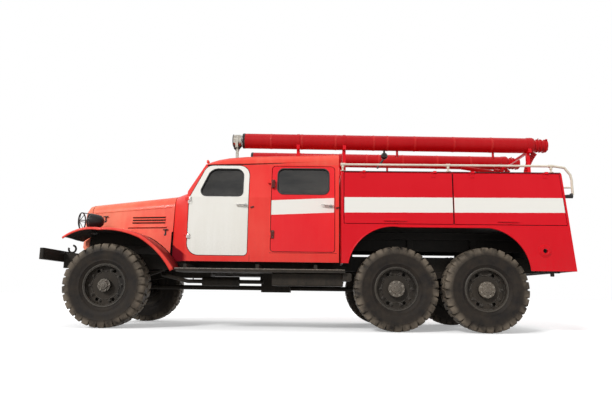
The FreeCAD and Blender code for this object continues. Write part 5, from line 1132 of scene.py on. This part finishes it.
def cushion(name, low, high, pleat_axis):
    """Pleated cushion: a soft box crowned on its faces, drawn in at the edges, with channels across it."""
    size, middle = Vector(high) - Vector(low), (Vector(high) + Vector(low)) / 2
    mesh = bmesh.new()
    bmesh.ops.create_cube(mesh, size=1)
    bmesh.ops.subdivide_edges(mesh, edges=mesh.edges, cuts=15, use_grid_fill=True)
    bmesh.ops.smooth_vert(mesh, verts=mesh.verts, factor=0.5, use_axis_x=True, use_axis_y=True, use_axis_z=True)
    for v in mesh.verts:
        p = v.co * 2
        swell = 0.5 * (1 - p.x**4) * (1 - p.y**4) * (1 - p.z**4)
        groove = 0.5 + 0.5 * math.cos(p.y * math.pi * PLEATS)
        face = 1 if abs(p[pleat_axis]) > 0.9 else 0
        v.co = Vector(p[i] * size[i] / 2 * (0.97 + 0.03 * swell) for i in range(3))
        v.co[pleat_axis] *= 1 - 0.055 * face * groove ** 4 - 0.10 * face * (p.y**2) ** 3
        v.co += middle
    bmesh.ops.recalc_face_normals(mesh, faces=mesh.faces)
    made = piece(name, mesh, leather, "chassis", ["cab_seats"], smooth=0)
    made.data.shade_smooth()


frames = bmesh.new()
for label, front in (("front", -1.480), ("crew", -2.410)):
    base, top = seat_low.z + SEAT_RISE - CUSHION_H, seat_low.z + SEAT_RISE
    for kind, (aft, low), (fore, high), pleated in (
        ("seat", (-0.430, base), (-0.004, top), 2), ("back", (-0.497, base + 0.10), (-0.410, seat_high.z), 0),
    ):
        first, last = at(front + aft, -BENCH_HALF, low), at(front + fore, BENCH_HALF, high)
        cushion(f"{label}_bench_{kind}", first, last, pleated)
    slab(frames, (0.400, 1.340, SEAT_RISE - CUSHION_H - 0.004),
         at(front - 0.225, 0, seat_low.z + (SEAT_RISE - CUSHION_H) / 2), None, 0.010)
piece("bench_frames", frames, chassis_black, "chassis")
finish(lamp_black, "dashboard")

# ------------------------------------------------------------------ rear body
# Flat-sided steel body over both rear axles: top-hinged locker doors with a painted white band, raked back, rolled
# arch edges.  A purer red than the cab's; black underneath.
BODY = {"half": 1.150, "front": -2.975, "top": 2.000, "low": 0.760, "rear_low": -5.835, "rear_top": -5.725,
        "skin": 0.012}


def rear_wall(z):
    """How far back the raked rear wall stands at a height."""
    return BODY["rear_low"] + (z - BODY["low"]) * (BODY["rear_top"] - BODY["rear_low"]) / (BODY["top"] - BODY["low"])


BODY_RED, BODY_FADED = (0.66, 0.0015, 0.010, 1), (0.74, 0.010, 0.020, 1)
BODY_LOOK = {"fading": 0.55, "dust": 0.25, "dust_top": 1.3, "gloss": 0.24, "coat": 0.06}


def body_paint(name, stripe=None):
    """The body's red on its outer skin, with the white band where stripe says, and near black inside."""
    made = painted(name, BODY_RED, BODY_FADED, **BODY_LOOK)
    tree, shader, surface = base_of(made)
    if stripe:
        surface = blend_colours(tree, stripe_mask(tree, *stripe), surface, WHITE)
    parts = axes(tree)
    sideways = calc(tree, "SUBTRACT", calc(tree, "ABSOLUTE", parts["Y"]), BODY["half"] - BODY["skin"])
    upwards = calc(tree, "SUBTRACT", parts["Z"], BODY["top"] - 0.030)
    slope = (BODY["rear_top"] - BODY["rear_low"]) / (BODY["top"] - BODY["low"])
    rear = calc(tree, "MULTIPLY_ADD", parts["Z"], slope, AXLE_X + rear_wall(0.0) + BODY["skin"])
    backwards = calc(tree, "SUBTRACT", rear, parts["X"])
    forwards = calc(tree, "SUBTRACT", parts["X"], AXLE_X + BODY["front"] - BODY["skin"])
    lengthwise = calc(tree, "MAXIMUM", backwards, forwards)
    nearest = calc(tree, "MAXIMUM", calc(tree, "MAXIMUM", sideways, upwards), lengthwise)
    outer = calc(tree, "GREATER_THAN", nearest, 0.0)
    feed(tree, shader, {"Base Color": blend_colours(tree, outer, (0.020, 0.019, 0.018, 1), surface)})
    return made


# (x, low, high) of the white band at its front and rear ends
BAND = ((-3.000, 1.457, 1.651), (-5.720, 1.480, 1.665))
finish(body_paint("body_paint"), "body_shell", "rear_door")
finish(body_paint("front_locker_paint", (*BAND, -3.008, -4.356)), "locker_door_front_left", "locker_door_front_right")
finish(body_paint("rear_locker_paint", (*BAND, -4.376, -5.740)), "locker_door_rear_left", "locker_door_rear_right")
body_red = painted("body_red", BODY_RED, BODY_FADED, **BODY_LOOK)
finish(body_red, "case_supports", "water_tank")

# rolled edge of the wheel arches and of the skirt behind them
ARCH = [(-3.050, 0.830), (-3.206, 1.123), (-3.700, 1.285), (-4.800, 1.285), (-5.147, 1.098), (-5.286, 0.760)]
arch_lip = bmesh.new()
edge = arc_through(*ARCH[:3], 20) + arc_through(*ARCH[3:], 20)
add_bead(arch_lip, [at(x, BODY["half"], z) for x, z in edge], 0.008)
stick(arch_lip, at(-5.286, 1.148, 0.764), at(-5.828, 1.148, 0.764), 0.006, 8)
on_both_sides(arch_lip)
piece("arch_edges", arch_lip, body_red, "chassis")

# turned flange of the side outlet with its bolts
OUTLET = {"x": -5.460, "z": 1.005, "bolts": 6, "bolt_circle": 0.063}
FLANGE = [
    (0.030, 0.002), (0.031, 0.012), (0.038, 0.016), (0.046, 0.013), (0.050, 0.008), (0.074, 0.006), (0.078, 0.001),
]
outlet = bmesh.new()
add_spun(outlet, FLANGE, 36, Matrix.Translation(at(OUTLET["x"], BODY["half"], OUTLET["z"])))
for k in range(OUTLET["bolts"]):
    t = 2 * math.pi * (k + 0.5) / OUTLET["bolts"]
    foot = at(OUTLET["x"], BODY["half"] + 0.004, OUTLET["z"])
    foot += OUTLET["bolt_circle"] * Vector((math.cos(t), 0, math.sin(t)))
    stick(outlet, foot, foot + Vector((0, 0.009, 0)), 0.006, 6)
piece("outlet_flange", outlet, body_red, "chassis")

# tie-down eyes on the rear wall, brackets under the body and its skirts, and the plate behind the tow opening
EYE_Y, EYE_Z = 0.980, 1.300
iron = bmesh.new()
for sign in (1, -1):
    post = at(rear_wall(EYE_Z), sign * EYE_Y, EYE_Z)
    stick(iron, post + Vector((0.004, 0, 0)), post - Vector((0.020, 0, 0)), 0.016, 12)
    eye = post - Vector((0.038, 0, 0.008))
    angles = [math.pi * k / 9 for k in range(18)]
    add_bead(iron, [eye + 0.024 * Vector((math.cos(t), 0, math.sin(t))) for t in angles], 0.0045, closed=True)
    slab(iron, (0.110, 0.300, 0.100), at(-3.048, sign * 0.900, 0.662), None, 0.012)
    slab(iron, (0.300, 0.050, 0.022), at(-5.500, sign * 1.080, 0.748), None, 0.006)
    slab(iron, (0.040, 0.040, 0.050), at(-5.560, sign * 1.080, 0.722), None, 0.008)
slab(iron, (0.008, 0.260, 0.160), at(rear_wall(0.840) + 0.045, 0, 0.842), None, 0.003)
piece("body_ironwork", iron, chassis_black, "chassis")

# rear door: strap hinges with bolts on the left, and a lever on a round plate on the right
STRAP_Y, LEVER_Y = 0.330, -0.345
(door_low, door_high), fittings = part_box("rear_door"), bmesh.new()
for z in (door_low.z + 0.110, door_high.z - 0.110):
    slab(fittings, (0.008, 0.180, 0.038), at(rear_wall(z) - 0.003, STRAP_Y, z), None, 0.003)
    for y in (STRAP_Y - 0.060, STRAP_Y, STRAP_Y + 0.060):
        stick(fittings, at(rear_wall(z), y, z), at(rear_wall(z) - 0.013, y, z), 0.008, 6)
grip_z = (door_low.z + door_high.z) / 2
hub = at(rear_wall(grip_z), LEVER_Y, grip_z)
for out, radius, sides in ((0.010, 0.032, 24), (0.034, 0.011, 16)):
    stick(fittings, hub, hub - Vector((out, 0, 0)), radius, sides)
slab(fittings, (0.010, 0.120, 0.022), hub + Vector((-0.034, 0.045, -0.008)), Matrix.Rotation(0.2, 3, "X"), 0.004)
piece("rear_door_fittings", fittings, hinge_iron, "rear_door")

gutter = bmesh.new()
add_bead(gutter, [at(x, 1.138, 1.985) for x in (-2.980, -4.300, -5.716)], 0.008)
on_both_sides(gutter)
piece("roof_gutter", gutter, dark_gap_and_shade, "chassis")

# locker doors: a bent grip rod, (along, out, down), over a short turning lever, and bolted straps at the top hinge
LOCKERS = {"front": -3.600, "rear": -5.004}
GRIP = [(-0.100, -0.002, 0.004), (-0.094, 0.010, 0.0), (-0.070, 0.013, 0.0), (0.070, 0.013, 0.0), (0.094, 0.010, 0.0),
        (0.100, -0.002, 0.004)]
for row, middle in LOCKERS.items():
    for side, sign in (("left", 1), ("right", -1)):
        grip = bmesh.new()
        add_bead(grip, [at(middle + along, BODY["half"] + out, 1.362 - down) for along, out, down in GRIP], 0.0065)
        slab(grip, (0.075, 0.006, 0.018), at(middle - 0.055, 1.153, 1.340), Matrix.Rotation(0.35, 3, "Y"), 0.002)
        if sign < 0:
            to_right(grip)
        piece(f"locker_handle_{row}_{side}", grip, body_red, f"locker_door_{row}_{side}")
        (low, high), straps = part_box(f"locker_door_{row}_{side}"), bmesh.new()
        for x in (low.x + 0.235, high.x - 0.235):
            slab(straps, (0.058, 0.006, 0.052), Vector((x, sign * 1.151, 1.934)), None, 0.0025)
            for dx in (-0.017, 0.017):
                bolt = Vector((x + dx, sign * 1.150, 1.926))
                stick(straps, bolt, bolt + Vector((0, sign * 0.007, 0)), 0.005, 8)
        piece(f"locker_hinge_straps_{row}_{side}", straps, body_red, f"locker_door_{row}_{side}")

# ------------------------------------------------------------------ roof gear
# Twin suction-hose cases: painted sheet tubes banded at their joints, in cradles; a ribbed coupling with a wing screw
# closes each at the back, a black rubber ring each in front.
CASE_R, CASE_Y = 0.105, 0.500
CASE_FRONT, CASE_REAR = (-1.630, 2.562), (-5.660, 2.525)


def on_case(x, sign=1):
    """Point on a case's middle line, which falls a little towards the rear."""
    share = (CASE_FRONT[0] - x) / (CASE_FRONT[0] - CASE_REAR[0])
    return at(x, sign * CASE_Y, CASE_FRONT[1] + share * (CASE_REAR[1] - CASE_FRONT[1]))


tube_red = painted(
    "tube_red", (0.42, 0.002, 0.006, 1), (0.55, 0.010, 0.014, 1), fading=0.7, dust=0.2, dust_top=4.0, gloss=0.34,
    coat=0.03,
)
finish(tube_red, "hose_cases", "hose_couplings", "water_monitor")
band_red = painted(
    "band_red", (0.50, 0.012, 0.014, 1), (0.62, 0.040, 0.036, 1), fading=0.8, dust=0.3, dust_top=4.0, gloss=0.35,
    coat=0.05,
)
case_slope = math.atan2(CASE_FRONT[1] - CASE_REAR[1], CASE_FRONT[0] - CASE_REAR[0])
level = Matrix.Rotation(-case_slope, 4, "Y")


def ring_on_case(mesh, x, sign, profile):
    """Turned ring about the case's line at x; profile of (radius, along)."""
    add_spun(mesh, profile, 48, Matrix.Translation(on_case(x, sign)) @ level, (1, 0, 0))


BANDS = (-2.020, -2.450, -2.920, -3.450, -3.640, -4.020, -4.560, -5.080)
BAND_RING = [
    (CASE_R - 0.002, -0.014), (CASE_R + 0.0025, -0.012), (CASE_R + 0.003, 0.0), (CASE_R + 0.0025, 0.012),
    (CASE_R - 0.002, 0.014),
]
FRONT_RING = [
    (0.0, 0.020), (0.060, 0.020), (0.092, 0.017), (0.102, 0.022), (0.105, 0.020), (0.107, 0.010), (0.107, -0.010),
    (0.105, -0.014), (CASE_R - 0.004, -0.014),
]
COUPLING = [
    (CASE_R - 0.002, 0.06), (0.112, 0.055), (0.113, 0.02), (0.108, 0.012), (0.080, -0.020), (0.079, -0.045),
    (0.092, -0.050), (0.092, -0.064), (0.079, -0.069), (0.079, -0.092), (0.092, -0.097), (0.092, -0.112),
    (0.079, -0.117), (0.078, -0.150), (0.090, -0.158), (0.091, -0.184), (0.082, -0.192), (0.050, -0.197),
    (0.0, -0.199),
]
EARS, EAR_CIRCLE = 4, 0.094
bands, rings, couplings = bmesh.new(), bmesh.new(), bmesh.new()
for sign in (1, -1):
    for x in BANDS:
        ring_on_case(bands, x, sign, BAND_RING)
        buckle = on_case(x, sign) + Vector((0, sign * (CASE_R + 0.003), 0))
        slab(bands, (0.014, 0.010, 0.022), buckle, None, 0.003)
    ring_on_case(rings, CASE_FRONT[0] - 0.012, sign, FRONT_RING)
    ring_on_case(couplings, CASE_REAR[0], sign, COUPLING)
    for k in range(EARS):
        t = math.pi / 4 + k * math.pi / 2
        ear = on_case(CASE_REAR[0] - 0.170, sign) + Vector((0, EAR_CIRCLE * math.cos(t), EAR_CIRCLE * math.sin(t)))
        slab(couplings, (0.030, 0.026, 0.026), ear, Matrix.Rotation(t, 3, "X"), 0.006)
    screw = on_case(CASE_REAR[0] - 0.085, sign)
    stick(couplings, screw + Vector((0, 0, 0.070)), screw + Vector((0, 0, 0.104)), 0.007, 10)
    slab(couplings, (0.006, 0.036, 0.016), screw + Vector((0, 0, 0.101)), None, 0.003)
piece("case_bands", bands, band_red, "chassis")
piece("case_rings", rings, latch_black, "chassis")
piece("case_couplings", couplings, tube_red, "chassis", ["hose_couplings"])

# pegs, strap clamps and curved brackets below the cases, and the black filler valve with its arm
CLAMP = [(CASE_R, -0.020), (CASE_R + 0.005, -0.018), (CASE_R + 0.005, 0.018), (CASE_R, 0.020)]
KNOB = [(0.0, 0.05), (0.03, 0.046), (0.046, 0.02), (0.046, -0.02), (0.03, -0.046), (0.0, -0.05)]
ARM = [(0, -0.2), (0.03, -0.26), (0.075, -0.31), (0.10, -0.36)]
pegs, valve = bmesh.new(), bmesh.new()
for sign in (1, -1):
    for x in (-3.780, -5.110):
        peg = on_case(x, sign)
        for top, low, radius in ((-0.100, -0.190, 0.016), (-0.176, -0.192, 0.026)):
            stick(pegs, peg + Vector((0, 0, top)), peg + Vector((0, 0, low)), radius, 14)
    for x in (-2.400, -3.040, -5.590):
        ring_on_case(pegs, x, sign, CLAMP)
    bracket = arc_through((-5.545, 2.010), (-5.580, 2.230), (-5.690, 2.420), 14)
    for (x0, z0), (x1, z1) in zip(bracket, bracket[1:]):
        slab(pegs, (0.070, 0.012, math.hypot(x1 - x0, z1 - z0) * 1.25),
             at((x0 + x1) / 2, sign * CASE_Y, (z0 + z1) / 2), Matrix.Rotation(math.atan2(x1 - x0, z1 - z0), 3, "Y"))
spindle = on_case(-3.600)
add_spun(valve, KNOB, 24, Matrix.Translation(spindle + Vector((0, 0, -0.185))))
stick(valve, spindle + Vector((0, 0, -0.10)), spindle + Vector((0, 0, -0.165)), 0.014, 12)
add_bead(valve, [spindle + Vector((along, 0, up)) for along, up in ARM], 0.014)
piece("case_pegs", pegs, tube_red, "chassis")
piece("case_valve", valve, latch_black, "chassis")

# cream handrails with collars at the posts and flanged feet
rail_cream = painted(
    "rail_cream", (0.80, 0.74, 0.62, 1), (0.66, 0.57, 0.44, 1), fading=0.6, dust=0.3, dust_top=4.0, gloss=0.3,
    coat=0.2, worn=(0.45, 0.30, 0.20, 1),
)
finish(rail_cream, "handrails")
POSTS, RAIL_Y, RAIL_Z = (-2.990, -4.3275, -5.625), 1.095, 2.085
fittings, lamps = bmesh.new(), bmesh.new()
for sign in (1, -1):
    y = sign * RAIL_Y
    for x in POSTS:
        stick(fittings, at(x - 0.028, y, RAIL_Z), at(x + 0.028, y, RAIL_Z), 0.020, 16)
        stick(fittings, at(x, y, 2.040), at(x, y, RAIL_Z), 0.017, 16)
        stick(fittings, at(x, y, 1.998), at(x, y, 2.008), 0.030, 20)
    stick(lamps, at(-5.858, y, 1.735), at(-5.862, y, 1.700), 0.019, 20)
    stick(lamps, at(rear_wall(1.700) + 0.010, y, 1.694), at(-5.868, y, 1.700), 0.020, 20, 0.027)
piece("handrail_fittings", fittings, rail_cream, "chassis")
piece("handrail_end_lamps", lamps, latch_black, "chassis")

# plated searchlight ahead of the left case, in a black cage of ribs behind and wires in front, on a bent bracket
chrome, tree, shader = new_finish("plated_steel")
haze = noise(tree, here(tree), 26.0, 4.0, 0.6)
dulled = ramp(tree, haze, 0.4, 0.75)
feed(tree, shader, {
    "Base Color": blend_colours(tree, dulled, (0.46, 0.43, 0.38, 1), (0.13, 0.10, 0.07, 1)),
    "Roughness": ramp(tree, haze, 0.3, 0.8, 0.16, 0.42),
})
shader.inputs["Metallic"].default_value = 1.0
finish(chrome, "searchlight")
LIGHT_R = 0.084
light = Vector((AXLE_X - 1.545, CASE_Y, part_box("searchlight")[1].z - LIGHT_R))
RIM = [(0.078, 0.050), (0.087, 0.052), (0.089, 0.060), (0.083, 0.064), (0.077, 0.060), (0.078, 0.050)]
BRACKET = [((-0.060, 0.0, -0.070), (-0.012, 0.0, -0.128)), ((0.020, 0.0, -0.150), (-0.012, 0.0, -0.110))]
cage = bmesh.new()
for side_on in (-0.066, -0.040, -0.012, 0.016, 0.044, 0.068):
    drop = -math.sqrt(max(0.0, (LIGHT_R + 0.004) ** 2 - side_on**2))
    path = [(0.059, 0.6 * drop), (0.055, drop + 0.004), (0.046, drop - 0.030), (0.018, drop - 0.052)]
    add_bead(cage, [light + Vector((dx, side_on * (1 - 0.2 * k), dz)) for k, (dx, dz) in enumerate(path)], 0.0045)
add_spun(cage, RIM, 40, Matrix.Translation(light), (1, 0, 0))
for height in (-0.052, -0.026, 0.0, 0.026, 0.052):
    half = math.sqrt(0.080**2 - height**2)
    stick(cage, light + Vector((0.061, -half, height)), light + Vector((0.061, half, height)), 0.0030, 8)
for start, end in BRACKET:
    stick(cage, light + Vector(start), light + Vector(end), 0.012, 12)
piece("searchlight_cage", cage, latch_black, "chassis")
finish(latch_black, "rear_lamps")

low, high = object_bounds()
